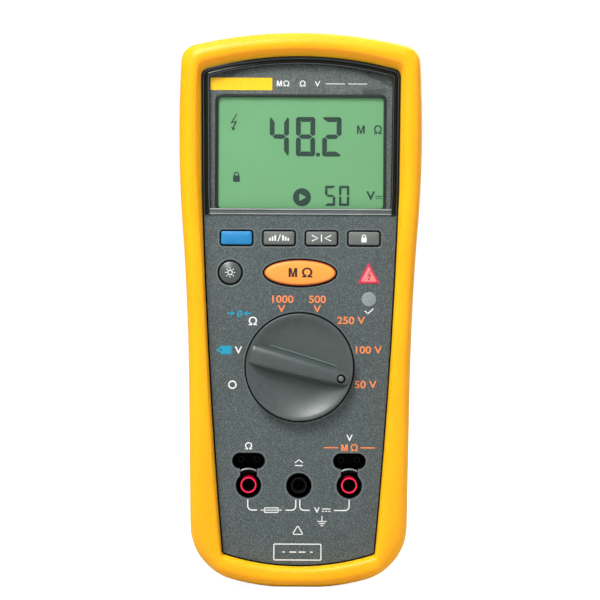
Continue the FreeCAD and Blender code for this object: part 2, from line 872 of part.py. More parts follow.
def make_display():
    """Window, its black frame, the printed mask, and the liquid-crystal stack behind them."""
    outer = slab("bezel_outer", [window_loop(-size.bezel_tuck, size.window_low)],
                 (size.face_front, size.seat_floor))
    inner = slab("bezel_inner", [window_loop(size.bezel_width, size.window_low - size.overcut)],
                 beyond((size.lens_front, size.seat_floor)))
    step = slab("bezel_step_outer", [window_loop(size.bezel_step_inset, size.window_low)],
                (size.lens_front - size.bezel_step, size.face_front))
    node(cut("bezel_frame", fuse("bezel_stock", [outer, step]), [inner]), "display_bezel")
    mask_back = size.seat_floor
    mask_front = size.seat_floor - size.mask_thickness
    pane_inset = size.bezel_width + size.running_gap
    node(slab("lens_pane", [window_loop(pane_inset, size.window_low)], (size.lens_front, mask_front)),
         "display_lens")
    hole = rounded_loop(both_sides(size.screen_half + size.screen_margin),
                        (size.screen_low - size.screen_margin, size.screen_high + size.screen_margin),
                        size.mask_corner)
    film = window_loop(pane_inset, size.window_low + size.running_gap)
    node(slab("mask_film", [film, hole], (mask_front, mask_back)), "display_mask")
    glass_back = size.face_back + size.glass_thickness
    x = both_sides(size.screen_half + size.glass_side_margin)
    z = (size.screen_low - size.glass_side_margin, size.screen_high + size.glass_top_margin)
    node(block("lcd_pane", x, (size.face_back, glass_back), z), "lcd_glass")
    guide_up = (size.screen_low + size.guide_lift, size.screen_high)
    node(block("light_guide", both_sides(size.screen_half), (glass_back, glass_back + size.guide_thickness),
               guide_up), "backlight_panel")
    zebra_up = (size.screen_low - size.zebra_low, size.screen_low + size.zebra_high)
    zebra_depth = (glass_back, size.board_front)
    strips = [block(f"zebra_{side}", around(side * size.zebra_x, size.zebra_half), zebra_depth, zebra_up)
              for side in (-1, 1)]
    node(group("zebra_pair", strips), "zebra_strips")
    rim = block("lcd_rim_outer", (x[0] - size.holder_wall, x[1] + size.holder_wall),
                (size.face_back, size.board_front), (z[0] - size.holder_foot, z[1] + size.holder_brow))
    space = block("lcd_rim_space", x, beyond((size.face_back, size.board_front)), z)
    node(cut("lcd_rim", rim, [space]), "lcd_holder")


# Circuit board and what stands on it.


def board_loop():
    """The board's outline, narrow between the lower screws and wide behind the display."""
    corners = ((size.board_low_half, size.board_low), (size.board_bend_half, size.board_bend_height),
               (size.board_half, size.board_step_height), (size.board_half, size.board_high))
    right = [(x + 0, z + 0, None) for x, z in corners]
    left = [(-x, z + 0, None) for x, z in corners[::-1]]
    return right + left


def make_board():
    """Main board with its screws, and the parts on its back."""
    board = slab("board_stock", [board_loop()], (size.board_front, size.board_back))
    through = beyond((size.board_front, size.board_back))
    holes = [rod(f"board_hole_{number}", "y", middle, through, size.board_screw_clearance)
             for number, middle in enumerate(BOARD_SCREWS)]
    holes.append(rod("spindle_clearance", "y", (0, size.knob_height), through,
                     size.spindle_radius + size.spindle_clearance))
    node(cut("board_solid", board, holes), "main_board")
    back = size.board_back
    screws = []
    head_span = (back, back + size.board_head_height)
    shank_span = (size.board_front - size.board_screw_reach, back)
    for number, middle in enumerate(BOARD_SCREWS):
        head = rod(f"board_screw_head_{number}", "y", middle, head_span, size.board_head_radius)
        shank = rod(f"board_screw_shank_{number}", "y", middle, shank_span, size.board_screw_radius)
        screws.append(fuse(f"board_screw_{number}", [head, shank]))
    node(group("board_screw_set", screws), "board_screws")
    chips = [block(name, across, (back, back + height), up) for name, (across, up, height) in CHIPS.items()]
    node(group("chip_set", chips), "control_chips")
    core = block("transformer_core", around(size.transformer_x, size.transformer_half),
                 (back, back + size.transformer_height), (size.transformer_low, size.transformer_high))
    winding = rod("transformer_winding", "z", (size.transformer_x, back + size.winding_depth),
                  (size.winding_low, size.winding_high), size.winding_radius)
    node(fuse("transformer_solid", [core, winding]), "step_up_transformer")
    cans = []
    relays = []
    can_span = (back, back + size.capacitor_height)
    relay_span = (back, back + size.relay_height)
    for number in range(2):
        middle = (size.capacitor_x + size.capacitor_pitch * number, size.capacitor_z)
        cans.append(rod(f"capacitor_{number}", "y", middle, can_span, size.capacitor_radius))
        left = size.relay_left + size.relay_pitch * number
        relays.append(block(f"relay_{number}", (left, left + size.relay_width), relay_span,
                            (size.relay_low, size.relay_high)))
    node(group("capacitor_pair", cans), "smoothing_capacitors")
    node(group("relay_pair", relays), "range_relays")
    node(tube("beeper_ring", "y", (size.beeper_x, size.beeper_z), (back, back + size.beeper_height),
              size.beeper_radius, size.beeper_bore), "beeper")


def make_keypad():
    """Rubber mat under the keys, with its domes at their pressed height."""
    top = size.board_front - size.mat_thickness
    depth = (top, size.board_front)
    up = (size.mat_low, size.mat_middle)
    pads = [block("mat_row", both_sides(size.mat_row_half), depth, (size.mat_row_low, size.mat_row_high)),
            block("mat_lamp", around(size.mat_lamp_x, size.mat_lamp_half), depth, up),
            block("mat_test", both_sides(size.mat_test_half), depth, up)]
    dome = (top - size.dome_height, top + size.dome_root)
    domes = [rod(f"mat_dome_{index}", "y", (key_middle(index), size.key_height), dome, size.dome_radius)
             for index in range(len(KEYS))]
    domes.append(rod("mat_dome_lamp", "y", (size.lamp_key_x, size.button_height), dome, size.dome_radius))
    domes.append(rod("mat_dome_test", "y", (0, size.button_height),
                     (top - size.test_dome_height, top + size.dome_root), size.test_dome_radius))
    node(fuse("mat_solid", pads + domes), "keypad_mat")


def make_keys():
    """Key caps, each with a flange behind the panel that keeps it in."""
    shelf_front = size.face_back + size.shelf_gap
    shelf = (shelf_front, shelf_front + size.shelf_thickness)
    for index, name in enumerate(KEYS):
        cap = slab(f"{name}_cap", [key_loop(index, 0)], (size.key_front, shelf[1]))
        flange = slab(f"{name}_flange", [key_loop(index, size.key_flange)], shelf)
        node(fuse(f"{name}_solid", [cap, flange]), name)
    middle = (size.lamp_key_x, size.button_height)
    cap = rod("lamp_cap", "y", middle, (size.key_front - size.lamp_key_rise, shelf[1]), size.lamp_key_radius)
    flange = rod("lamp_flange", "y", middle, shelf, size.lamp_key_radius + size.key_flange)
    node(fuse("lamp_solid", [cap, flange]), "backlight_key")
    cap = oval("test_cap", size.test_half, size.test_half_high, (size.key_front - size.test_rise, shelf[1]))
    flange = oval("test_flange", size.test_half + size.key_flange, size.test_half_high + size.key_flange,
                  shelf)
    node(fuse("test_solid", [cap, flange]), "test_button")


def make_lamps():
    """High-voltage lens, pass lens and the light-emitting diodes behind them."""
    depth = (size.face_front - size.lens_rise, size.face_back)
    behind = (size.face_back, size.face_back + size.flange_thickness)
    cap = slab("alarm_cap", [alarm_loop(0)], depth)
    flange = slab("alarm_flange", [alarm_loop(size.alarm_flange)], behind)
    node(fuse("alarm_solid", [cap, flange]), "high_voltage_lens")
    middle = (size.pass_x, size.pass_height)
    cap = rod("pass_cap", "y", middle, depth, size.pass_radius)
    flange = rod("pass_flange", "y", middle, behind, size.pass_radius + size.lens_flange)
    node(fuse("pass_solid", [cap, flange]), "pass_lens")
    alarm_middle = (size.alarm_x, size.alarm_low + size.diode_lift)
    diode_span = (behind[1] + size.diode_gap, size.board_front)
    diodes = [rod(f"diode_{number}", "y", centre, diode_span, size.diode_radius)
              for number, centre in enumerate((alarm_middle, middle))]
    node(group("diode_pair", diodes), "indicator_diodes")


# Selector knob and the switch that it turns.


def make_knob():
    """Dished knob with a tapered grip across it, set to the lowest test voltage."""
    skirt = doc.addObject("PartDesign::Body", "knob_skirt")
    sketch = skirt.newObject("Sketcher::SketchObject", "knob_profile")
    sketch.AttachmentSupport = [(origin_plane(skirt, "XY_Plane"), "")]
    sketch.MapMode = "FlatFace"
    rim = size.knob_radius
    dish_half = rim - size.knob_rim_width
    dish_depth = size.knob_dish - size.knob_rim
    draw(sketch, [
        (0, size.knob_dish + 0, -crown_radius(dish_half, dish_depth)),
        (dish_half, size.knob_rim + 0, None),
        (rim - size.rim_chamfer, size.knob_rim + 0, None),
        (rim + 0, size.knob_rim + size.rim_drop, None),
        (rim + 0, size.knob_back + 0, None),
        (0, size.knob_back + 0, None),
    ])
    turned = skirt.newObject("PartDesign::Revolution", "knob_turned")
    turned.Profile = sketch
    turned.ReferenceAxis = (sketch, ["V_Axis"])
    turned.Angle = 360
    place(skirt, 0, 0, size.knob_height)
    tail, nose = beyond((-rim, rim))
    bar = slab("grip_bar", [[
        (tail, -size.grip_tail_half, None), (nose, -size.grip_nose_half, None),
        (nose, size.grip_nose_half + 0, None), (tail, size.grip_tail_half + 0, None),
    ]], (size.knob_front, size.knob_dish + size.grip_root))
    bar.Tip.TaperAngle = -GRIP_DRAFT
    bar.Placement.Rotation = GRIP_TURN
    place(bar, 0, 0, size.knob_height)
    envelope = rod("grip_envelope", "y", (0, size.knob_height),
                   (size.knob_front - size.overcut, size.knob_back), rim - size.grip_end_gap)
    grip = doc.addObject("Part::MultiCommon", "grip_trimmed")
    grip.Shapes = [bar, envelope]
    turn = math.radians(-float(size.grip_angle))
    dot = (size.pointer_reach * math.cos(turn), size.knob_height - size.pointer_reach * math.sin(turn))
    floor = size.knob_front + size.pointer_depth
    dimple = rod("pointer_dimple", "y", dot, (size.knob_front - size.overcut, floor), size.pointer_radius)
    node(cut("knob_solid", fuse("knob_stock", [skirt, grip]), [dimple]), "selector_knob")
    insert = rod("pointer_plug", "y", dot, (size.knob_front + size.pointer_sink, floor), size.pointer_radius)
    node(insert, "knob_pointer")


def make_switch():
    """Spindle, seal, notched rotor with its wipers, and the spring that clicks in the notches."""
    middle = (0, size.knob_height)
    spindle = rod("spindle_rod", "y", middle, (size.knob_back, size.board_back + size.spindle_end),
                  size.spindle_radius)
    node(spindle, "knob_spindle")
    seal = doc.addObject("Part::Torus", "seal_ring")
    seal.Placement.Rotation = TURNS["y"]
    seal.setExpression("Radius1", formula(size.spindle_radius + size.seal_thickness))
    seal.setExpression("Radius2", formula(size.seal_thickness))
    place(seal, 0, size.face_back + size.seal_gap + size.seal_thickness, size.knob_height)
    node(seal, "knob_seal")
    rotor = (size.face_back + size.rotor_gap + 2 * size.seal_thickness, size.board_front - size.wiper_height)
    disc = rod("rotor_disc", "y", middle, rotor, size.rotor_radius)
    cuts = [rod("rotor_bore", "y", middle, beyond(rotor), size.spindle_radius)]
    for step in range(DETENTS):
        turn = 2 * math.pi * (step + 0.5) / DETENTS
        centre = at_turn(size.rotor_radius + size.notch_offset, turn)
        cuts.append(rod(f"rotor_notch_{step}", "y", centre, beyond(rotor), size.notch_radius))
    node(cut("rotor_solid", disc, cuts), "switch_rotor")
    fingers = []
    for step in range(WIPERS):
        centre = at_turn(size.rotor_radius - size.wiper_inset, 2 * math.pi * step / WIPERS)
        fingers.append(rod(f"wiper_{step}", "y", centre, (rotor[1], size.board_front - size.wiper_gap),
                           size.wiper_radius))
    node(group("wiper_set", fingers), "rotor_wipers")
    low = size.knob_height + size.rotor_radius + size.rotor_gap
    leaf = block("detent_leaf", both_sides(size.leaf_half), (rotor[0], size.board_front),
                 (low + size.leaf_lift, low + size.leaf_lift + size.leaf_thickness))
    roller = rod("detent_roller", "y", (0, low + size.roller_radius), rotor, size.roller_radius)
    node(fuse("detent_solid", [leaf, roller]), "detent_spring")


def at_turn(reach, turn):
    """A point round the knob's axis, by its distance and its angle from straight up."""
    return reach * math.sin(turn), size.knob_height + reach * math.cos(turn)


# Sockets.


def make_jacks():
    """Moulded block behind the panel with a shrouded socket in each of its three wells."""
    edge = size.jack_pitch + size.jack_well_radius + size.jack_block_side
    floor = size.jack_well_floor
    stock = block("jack_stock", both_sides(edge), (size.face_back, floor + size.jack_block_floor),
                  (size.jack_height - size.jack_block_low, size.port_height + size.jack_block_high))
    mouth = size.face_back - size.overcut
    barrel_radius = size.jack_sleeve_radius - size.sleeve_wall
    bore_end = floor + size.barrel_bore_length
    cuts = []
    contacts = []
    for side, name in JACKS:
        x = side * size.jack_pitch
        middle = (x, size.jack_height)
        cuts.append(port(f"{name}_port", side, (mouth, size.port_floor if side else floor), 0))
        cuts.append(rod(f"{name}_deep_well", "y", middle, (mouth, floor), size.jack_well_radius))
        cuts.append(rod(f"{name}_tail_hole", "y", middle, (mouth, bore_end),
                        barrel_radius + size.running_gap))
        sleeve = tube(f"{name}_sleeve_tube", "y", middle, (size.socket_front, floor), size.jack_sleeve_radius,
                      barrel_radius)
        lip = tube(f"{name}_sleeve_lip", "y", middle,
                   (size.socket_front - size.lip_length, size.socket_front),
                   size.jack_sleeve_radius, size.jack_bore_radius)
        node(fuse(f"{name}_sleeve_solid", [sleeve, lip]), f"{name}_jack_sleeve")
        barrel = rod(f"{name}_barrel", "y", middle, (size.socket_front, floor + size.barrel_length),
                     barrel_radius)
        bore = rod(f"{name}_bore", "y", middle, (size.socket_front - size.overcut, bore_end),
                   size.jack_bore_radius)
        node(cut(f"{name}_socket_solid", barrel, [bore]), f"{name}_jack_socket")
        for hand in (-1, 1) if side else ():
            pin = (x + hand * size.port_pin_reach, size.port_height)
            pin_end = size.port_floor + size.port_pin_length
            cuts.append(rod(f"{name}_pin_hole_{hand + 1}", "y", pin,
                            (size.port_floor - size.overcut, pin_end), size.port_pin_radius))
            contacts.append(tube(f"{name}_pin_{hand + 1}", "y", pin,
                                 (size.port_floor - size.port_pin_rise, pin_end), size.port_pin_radius,
                                 size.port_pin_bore))
    node(cut("jack_block_solid", stock, cuts), "jack_block")
    node(group("contact_set", contacts), "probe_port_contacts")


# Batteries, fuse and their door.


def make_battery_bay():
    """Tray with its four cells, their springs, and the fuse in its clips."""
    chamber = (size.cell_low - size.chamber_margin, size.cell_low + size.cell_length + size.chamber_margin)
    open_back = size.tray_rim + size.overcut
    stock = block("tray_stock", both_sides(size.tray_half), (size.tray_floor - size.tray_wall, size.tray_rim),
                  (size.tray_low, size.tray_high))
    cell_depth = (size.tray_floor, open_back)
    fuse_depth = (size.fuse_depth - size.fuse_floor, open_back)
    cuts = [block("cell_chamber", both_sides(size.tray_half - size.tray_wall), cell_depth, chamber),
            block("fuse_chamber", both_sides(size.fuse_bay_width), fuse_depth,
                  around(size.fuse_height, size.fuse_bay_half))]
    cuts += [rod(f"lock_well_{side}", "y", (side * size.lock_x, size.fuse_height),
                 (size.lock_tip - size.lock_well_floor, open_back), size.lock_radius + size.lock_well_gap)
             for side in (-1, 1)]
    node(cut("tray_solid", stock, cuts), "battery_tray")
    depth = size.tray_floor + size.cell_float + size.cell_radius
    pieces = []
    for number in range(CELLS):
        x = (2 * number - CELLS + 1) * size.cell_pitch / 2
        pieces += make_cell(number, (x, depth), chamber)
    node(group("contact_plates", pieces), "battery_contacts")
    make_fuse()


def make_cell(number, middle, chamber):
    """A cell with its cap up or down in turn. Returns the contacts at its two ends."""
    upright = number % 2 == 0
    low = size.cell_low + (0 if upright else size.cell_cap_length)
    high = low + size.cell_length - size.cell_cap_length
    can = rod(f"cell_can_{number}", "z", middle, (low, high), size.cell_radius)
    cap = (high, high + size.cell_cap_length) if upright else (low - size.cell_cap_length, low)
    nub = rod(f"cell_nub_{number}", "z", middle, cap, size.cell_cap_radius)
    node(fuse(f"cell_{number}", [can, nub]), f"battery_cell_{number + 1}")
    low_plate = (chamber[0], chamber[0] + size.plate_thickness)
    high_plate = (chamber[1] - size.plate_thickness, chamber[1])
    high_gap = (size.cell_low + size.cell_length, high_plate[0])
    low_gap = (low_plate[1], size.cell_low)
    spring_gap, stud_gap = (low_gap, high_gap) if upright else (high_gap, low_gap)
    square = [around(bound, size.plate_half) for bound in middle]
    plates = [block(f"contact_plate_{number}_{end}", *square, gap)
              for end, gap in enumerate((low_plate, high_plate))]
    spring = tube(f"contact_spring_{number}", "z", middle, spring_gap, size.spring_radius, size.spring_bore)
    stud = rod(f"contact_stud_{number}", "z", middle, stud_gap, size.stud_radius)
    return [spring, stud] + plates


def make_fuse():
    """Ceramic fuse with its end caps, held in two clips."""
    middle = (size.fuse_depth, size.fuse_height)
    reach = size.fuse_length / 2
    cap_start = reach - size.fuse_cap_length
    barrel_radius = size.fuse_radius - size.fuse_wall_step
    node(rod("fuse_barrel", "x", middle, both_sides(cap_start), barrel_radius), "fuse_tube")
    caps = []
    clips = []
    for side, span in ((0, (-reach, -cap_start)), (1, (cap_start, reach))):
        caps.append(rod(f"fuse_cap_{side}", "x", middle, span, size.fuse_radius))
        stock = block(f"fuse_clip_stock_{side}", (span[0] + size.clip_inset, span[1] - size.clip_inset),
                      (size.fuse_depth - size.fuse_floor, size.fuse_depth + size.clip_rise),
                      around(size.fuse_height, size.clip_half))
        grip = rod(f"fuse_clip_grip_{side}", "x", middle, beyond(span), size.fuse_radius + size.running_gap)
        clips.append(cut(f"fuse_clip_{side}", stock, [grip]))
    node(group("fuse_cap_pair", caps), "fuse_caps")
    node(group("fuse_clip_pair", clips), "fuse_clips")


def make_door():
    """Battery door, its seal, and the two quarter-turn locks that hold it."""
    grown = size.door_reveal - size.door_gap
    door_up = (size.tray_low - grown, size.tray_high + grown)
    outline = rounded_loop(both_sides(size.tray_half + grown), door_up, size.door_corner)
    plate = slab("door_plate", [outline], (size.door_inner, size.back_outer))
    rib_depth = (size.back_outer - size.door_rib_root, size.back_outer + size.door_rib_height)
    ribs = [block(f"door_rib_{row}", both_sides(size.door_rib_half), rib_depth,
                  around(size.door_rib_low + size.door_rib_pitch * row, size.door_rib_half_width))
            for row in range(DOOR_RIBS)]
    head_front = size.back_outer - size.lock_head_depth
    outward = size.back_outer + size.overcut
    holes = []
    for side, name in ((-1, "left"), (1, "right")):
        middle = (side * size.lock_x, size.fuse_height)
        holes.append(rod(f"{name}_lock_seat", "y", middle, (head_front, outward),
                         size.lock_radius + size.lock_head_gap))
        holes.append(rod(f"{name}_lock_hole", "y", middle, (size.door_inner - size.overcut, outward),
                         size.lock_hole_radius))
        head = rod(f"{name}_lock_head", "y", middle, (head_front + size.lock_head_lift, size.back_outer),
                   size.lock_radius)
        shank = rod(f"{name}_lock_shank", "y", middle, (size.lock_tip, head_front + size.lock_head_gap),
                    size.lock_shank_radius)
        foot = block(f"{name}_lock_foot", around(middle[0], size.lock_foot_half),
                     (size.lock_tip, size.lock_tip + size.lock_foot_thickness),
                     around(middle[1], size.lock_foot_half_high))
        slot = block(f"{name}_lock_slot", around(middle[0], size.lock_slot_half),
                     (size.back_outer - size.lock_slot_depth, outward),
                     around(middle[1], size.lock_slot_half_high))
        lock = cut(f"{name}_lock_solid", fuse(f"{name}_lock_stock", [head, shank, foot]), [slot])
        node(lock, f"{name}_door_lock")
    node(cut("door_solid", fuse("door_stock", [plate] + ribs), holes), "battery_door")
    width = size.door_seal_width
    outer = rounded_loop(both_sides(size.tray_half), (size.tray_low, size.tray_high), size.door_seal_corner)
    inner = rounded_loop(both_sides(size.tray_half - width), (size.tray_low + width, size.tray_high - width),
                         size.door_seal_corner - width)
    seal_depth = (size.tray_rim, size.door_inner - size.door_seal_gap)
    node(slab("door_seal_ring", [outer, inner], seal_depth), "door_seal")


# Tilt stand.


def make_stand():
    """Folding stand with a finger opening, on a steel pin between the ears of the rear shell."""
    plate_up = (size.stand_low, size.hinge_height - size.stand_top_gap)
    outline = rounded_loop(both_sides(size.stand_half), plate_up, size.stand_corner)
    window = rounded_loop(both_sides(size.stand_half - size.stand_side),
                          (size.stand_low + size.stand_bar, size.hinge_height - size.stand_bar),
                          size.stand_window_corner)
    plate = slab("stand_plate", [outline, window], (size.stand_front, size.stand_back))
    across = both_sides(size.stand_half)
    axis = (size.hinge_depth, size.hinge_height)
    barrel = rod("stand_barrel", "x", axis, across, size.hinge_radius)
    bore = rod("stand_bore", "x", axis, beyond(across), size.stand_pin_radius + size.running_gap)
    node(cut("stand_solid", fuse("stand_stock", [plate, barrel]), [bore]), "tilt_stand")
    pin_span = both_sides(size.stand_half + size.stand_pin_overhang)
    node(rod("hinge_pin", "x", axis, pin_span, size.stand_pin_radius), "stand_pin")


def check_document():
    """Stops before anything is written if an object failed or a sub-part isn't a sound solid."""
    for thing in doc.Objects:
        if "Invalid" in thing.State or "Error" in thing.State:
            raise RuntimeError(f"{thing.Name} did not recompute: {thing.State}")
    for thing in nodes:
        shape = thing.Shape
        if shape.isNull() or not shape.isValid() or shape.Volume <= 0:
            raise RuntimeError(f"{thing.Label} is not a sound solid")


def main():
    fill_sheet()
    make_holster()
    make_front_case()
    make_rear_case()
    make_case_fasteners()
    make_display()
    make_board()
    make_keypad()
    make_keys()
    make_lamps()
    make_knob()
    make_switch()
    make_jacks()
    make_battery_bay()
    make_door()
    make_stand()
    doc.recompute()
    check_document()
    os.makedirs("parts", exist_ok=True)
    for thing in nodes:
        thing.Shape.exportStep(f"parts/{thing.Label}.step")
    print(len(nodes), "sub-parts written")


main()
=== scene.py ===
"""Looks of the hand-held insulation resistance tester, built round its CAD frame.

Lengths in the tables and calls below are millimetres; mm() turns them into the scene's metres.
The panel faces -Y, +Z runs up the tester and the origin is below the middle of its foot.
"""

import json
import math
import random

import bmesh
import bpy
from mathutils import Matrix, Vector


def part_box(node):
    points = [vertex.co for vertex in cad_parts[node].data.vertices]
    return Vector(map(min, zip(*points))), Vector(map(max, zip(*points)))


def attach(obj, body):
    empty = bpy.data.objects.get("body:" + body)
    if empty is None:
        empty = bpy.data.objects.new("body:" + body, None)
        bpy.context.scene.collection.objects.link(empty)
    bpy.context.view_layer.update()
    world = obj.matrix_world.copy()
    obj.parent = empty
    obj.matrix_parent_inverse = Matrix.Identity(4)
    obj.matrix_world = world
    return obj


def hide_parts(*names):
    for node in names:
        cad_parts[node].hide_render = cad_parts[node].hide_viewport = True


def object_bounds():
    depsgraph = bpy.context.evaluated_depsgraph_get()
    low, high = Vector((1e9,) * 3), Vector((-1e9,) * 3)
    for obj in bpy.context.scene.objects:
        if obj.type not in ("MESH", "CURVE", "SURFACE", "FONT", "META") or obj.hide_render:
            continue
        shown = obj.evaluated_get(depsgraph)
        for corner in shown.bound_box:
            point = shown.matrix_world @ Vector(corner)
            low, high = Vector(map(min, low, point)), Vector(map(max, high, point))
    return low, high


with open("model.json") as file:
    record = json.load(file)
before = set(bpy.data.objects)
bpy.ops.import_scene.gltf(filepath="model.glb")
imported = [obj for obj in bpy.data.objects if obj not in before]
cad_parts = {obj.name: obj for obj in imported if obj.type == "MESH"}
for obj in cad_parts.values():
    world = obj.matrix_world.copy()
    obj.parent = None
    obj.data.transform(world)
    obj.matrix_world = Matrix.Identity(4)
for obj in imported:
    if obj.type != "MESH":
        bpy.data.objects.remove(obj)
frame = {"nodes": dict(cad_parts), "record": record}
cad_low, cad_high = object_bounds()
nodes = frame["nodes"]


def mm(*lengths):
    """Millimetres as metres: one number, or a Vector for three."""
    metres = [length * 0.001 for length in lengths]
    return metres[0] if len(metres) == 1 else Vector(metres)


# Materials.

MATERIALS = {}


def put_node(tree, kind, **values):
    """A new shader node, with the given values on its sockets."""
    node = tree.nodes.new("ShaderNode" + kind)
    for socket, value in values.items():
        node.inputs[socket.replace("_", " ")].default_value = value
    return node


def link(source, socket):
    """Feeds a socket from another node's output."""
    socket.id_data.links.new(source, socket)


def new_material(name, colour, roughness, **sockets):
    """A principled material whose even values sit on the shader's own sockets."""
    material = bpy.data.materials.new(name)
    material.use_nodes = True
    surface = surface_of(material)
    surface["Base Color"].default_value = (*colour, 1.0)
    surface["Roughness"].default_value = roughness
    for socket, value in sockets.items():
        surface[socket.replace("_", " ")].default_value = value
    MATERIALS[name] = material
    return material


def surface_of(material):
    """The inputs of a material's shader."""
    return material.node_tree.nodes["Principled BSDF"].inputs


def place_of(material):
    """The node that gives places and directions in the object's own space."""
    tree = material.node_tree
    place = tree.nodes.get("Place") or put_node(tree, "TexCoord")
    place.name = "Place"
    return place


def add_noise(material, size, detail=2.0, seed=0.0):
    """Noise in the object's own space, with features of about the given size."""
    noise = put_node(material.node_tree, "TexNoise")
    noise.noise_dimensions = "4D"
    for socket, value in (("W", seed), ("Scale", 1.0 / mm(size)), ("Detail", detail)):
        noise.inputs[socket].default_value = value
    link(place_of(material).outputs["Object"], noise.inputs["Vector"])
    return noise.outputs["Fac"]


def mottle(material, size, dark, light):
    """Varies the colour between two shades in patches of about the given size."""
    ramp = put_node(material.node_tree, "ValToRGB")
    for stop, position, colour in zip(ramp.color_ramp.elements, (0.35, 0.65), (dark, light)):
        stop.position = position
        stop.color = (*colour, 1.0)
    link(add_noise(material, size), ramp.inputs["Fac"])
    link(ramp.outputs["Color"], surface_of(material)["Base Color"])


def lay_over(material, colour, share):
    """Lays a colour over what already feeds the base colour, as far as a socket says."""
    base = surface_of(material)["Base Color"]
    mix = put_node(material.node_tree, "Mix")
    mix.data_type = "RGBA"
    mix.inputs["B"].default_value = (*colour, 1.0)
    link(share, mix.inputs["Factor"])
    link(base.links[0].from_socket, mix.inputs["A"])
    link(mix.outputs["Result"], base)


def spread_over(source, **limits):
    """A socket's value carried over from one pair of limits to another, 0 to 1 unless they are given."""
    spread = put_node(source.id_data, "MapRange", **limits)
    link(source, spread.inputs["Value"])
    return spread.outputs["Result"]


def speckle(material, size, colour, seed=5.0):
    """Lays flecks of another colour over the base colour."""
    noise = add_noise(material, size, detail=1.0, seed=seed)
    lay_over(material, colour, spread_over(noise, From_Min=0.5, From_Max=0.74))


def roughen(material, size, low, high):
    """Varies the roughness, as handling and moulding leave it."""
    noise = add_noise(material, size, seed=9.0)
    link(spread_over(noise, To_Min=low, To_Max=high), surface_of(material)["Roughness"])


def grain(material, size, height):
    """Raises a fine texture of the given grain size and height."""
    bump = put_node(material.node_tree, "Bump", Strength=1.0, Distance=mm(height))
    link(add_noise(material, size, seed=3.0), bump.inputs["Height"])
    link(bump.outputs["Normal"], surface_of(material)["Normal"])


def shade_of(colour, factor):
    """A darker or lighter shade of a colour."""
    return tuple(min(1.0, channel * factor) for channel in colour)


def moulded(name, colour, roughness, spread=0.12, patch=9.0, grain_size=0.25, grain_height=0.006, **sockets):
    """Moulded plastic or rubber: slow drift in colour and gloss under a fine grain."""
    material = new_material(name, colour, roughness, **sockets)
    mottle(material, patch, shade_of(colour, 1 - spread), shade_of(colour, 1 + spread / 2))
    roughen(material, patch * 0.6, roughness * 0.88, min(1.0, roughness * 1.12))
    grain(material, grain_size, grain_height)
    return material


def textured_case(name, colour, fleck, shadow):
    """The panel's spark-textured plastic: light and dark flecks a quarter of a millimetre wide."""
    material = new_material(name, colour, 0.42, Specular_IOR_Level=0.5)
    mottle(material, 14.0, shade_of(colour, 0.92), shade_of(colour, 1.08))
    speckle(material, 0.3, fleck)
    speckle(material, 0.34, shadow, seed=21.0)
    roughen(material, 0.5, 0.42, 0.58)
    grain(material, 0.32, 0.02)


def metal(name, colour, roughness, size=0.3):
    """Plated or turned metal with a faint drift in tone."""
    material = new_material(name, colour, roughness, Metallic=1.0)
    mottle(material, 4.0, shade_of(colour, 0.85), colour)
    roughen(material, size, roughness * 0.75, roughness * 1.25)
    grain(material, size, 0.003)


def clear_pane(name):
    """The display window: see-through, with the gloss of polished plastic."""
    material = new_material(name, (0.02, 0.024, 0.022), 0.04, Alpha=0.05, IOR=1.49)
    roughen(material, 18.0, 0.03, 0.06)
    mottle(material, 25.0, (0.018, 0.022, 0.02), (0.024, 0.028, 0.026))


def printed(name, colour, roughness=0.45):
    """Ink of a printed or moulded-in legend."""
    material = new_material(name, colour, roughness)
    mottle(material, 0.8, shade_of(colour, 0.9), colour)
    roughen(material, 0.5, roughness * 0.9, roughness * 1.1)


def glowing(name, colour, strength, roughness=0.3):
    """A lens lit from behind, or a faint glowing strip that paints a lamp's glow on the panel round it."""
    material = new_material(name, colour, roughness, Emission_Color=(*colour, 1.0),
                            Emission_Strength=strength)
    mottle(material, 2.5, shade_of(colour, 0.85), colour)
    roughen(material, 1.0, roughness * 0.8, roughness * 1.2)


def banded(name, colour, band, roughness, node, share=0.72):
    """A sleeve in two colours, with the second one above a share of a node's height."""
    material = moulded(name, colour, roughness)
    low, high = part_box(node)
    start = low.z + (high.z - low.z) * share
    parts = put_node(material.node_tree, "SeparateXYZ")
    link(place_of(material).outputs["Object"], parts.inputs["Vector"])
    step = spread_over(parts.outputs["Z"], From_Min=start, From_Max=start + mm(0.2))
    lay_over(material, band, step)


def boot_rubber():
    """Satin rubber, with painted shade: a deeper orange laid on the upper faces that look in towards the
    panel from the raised lip.
    """
    material = moulded("boot_rubber", (0.88, 0.405, 0.003), 0.42, spread=0.05, patch=30.0, grain_size=0.35,
                       grain_height=0.003, Specular_IOR_Level=0.25, Subsurface_Weight=0.7,
                       Subsurface_Scale=mm(6), Subsurface_Radius=(1.0, 0.5, 0.08))
    tree = material.node_tree
    place = place_of(material)
    steps = []
    for operation, value in (("SUBTRACT", (0, 0, cad_high.z / 2)), ("MULTIPLY", (1.6, 0, 1)),
                             ("DOT_PRODUCT", None)):
        step = put_node(tree, "VectorMath")
        step.operation = operation
        if value:
            step.inputs[1].default_value = value
        link(steps[-1].outputs["Vector"] if steps else place.outputs["Object"], step.inputs[0])
        steps.append(step)
    link(place.outputs["Normal"], step.inputs[1])
    inward = spread_over(step.outputs["Value"], From_Min=-0.004, From_Max=-0.05)
    inward.node.interpolation_type = "SMOOTHSTEP"
    parts = put_node(tree, "SeparateXYZ")
    link(place.outputs["Object"], parts.inputs["Vector"])
    height = spread_over(parts.outputs["Z"], From_Min=mm(110), From_Max=mm(185))
    upper = put_node(tree, "Math")
    upper.operation = "MULTIPLY"
    for socket, source in zip(upper.inputs, (inward, height)):
        link(source, socket)
    # Painted shade: the deeper orange goes on the upper faces that look in towards the panel.
    lay_over(material, (0.9, 0.39, 0.01), upper.outputs["Value"])


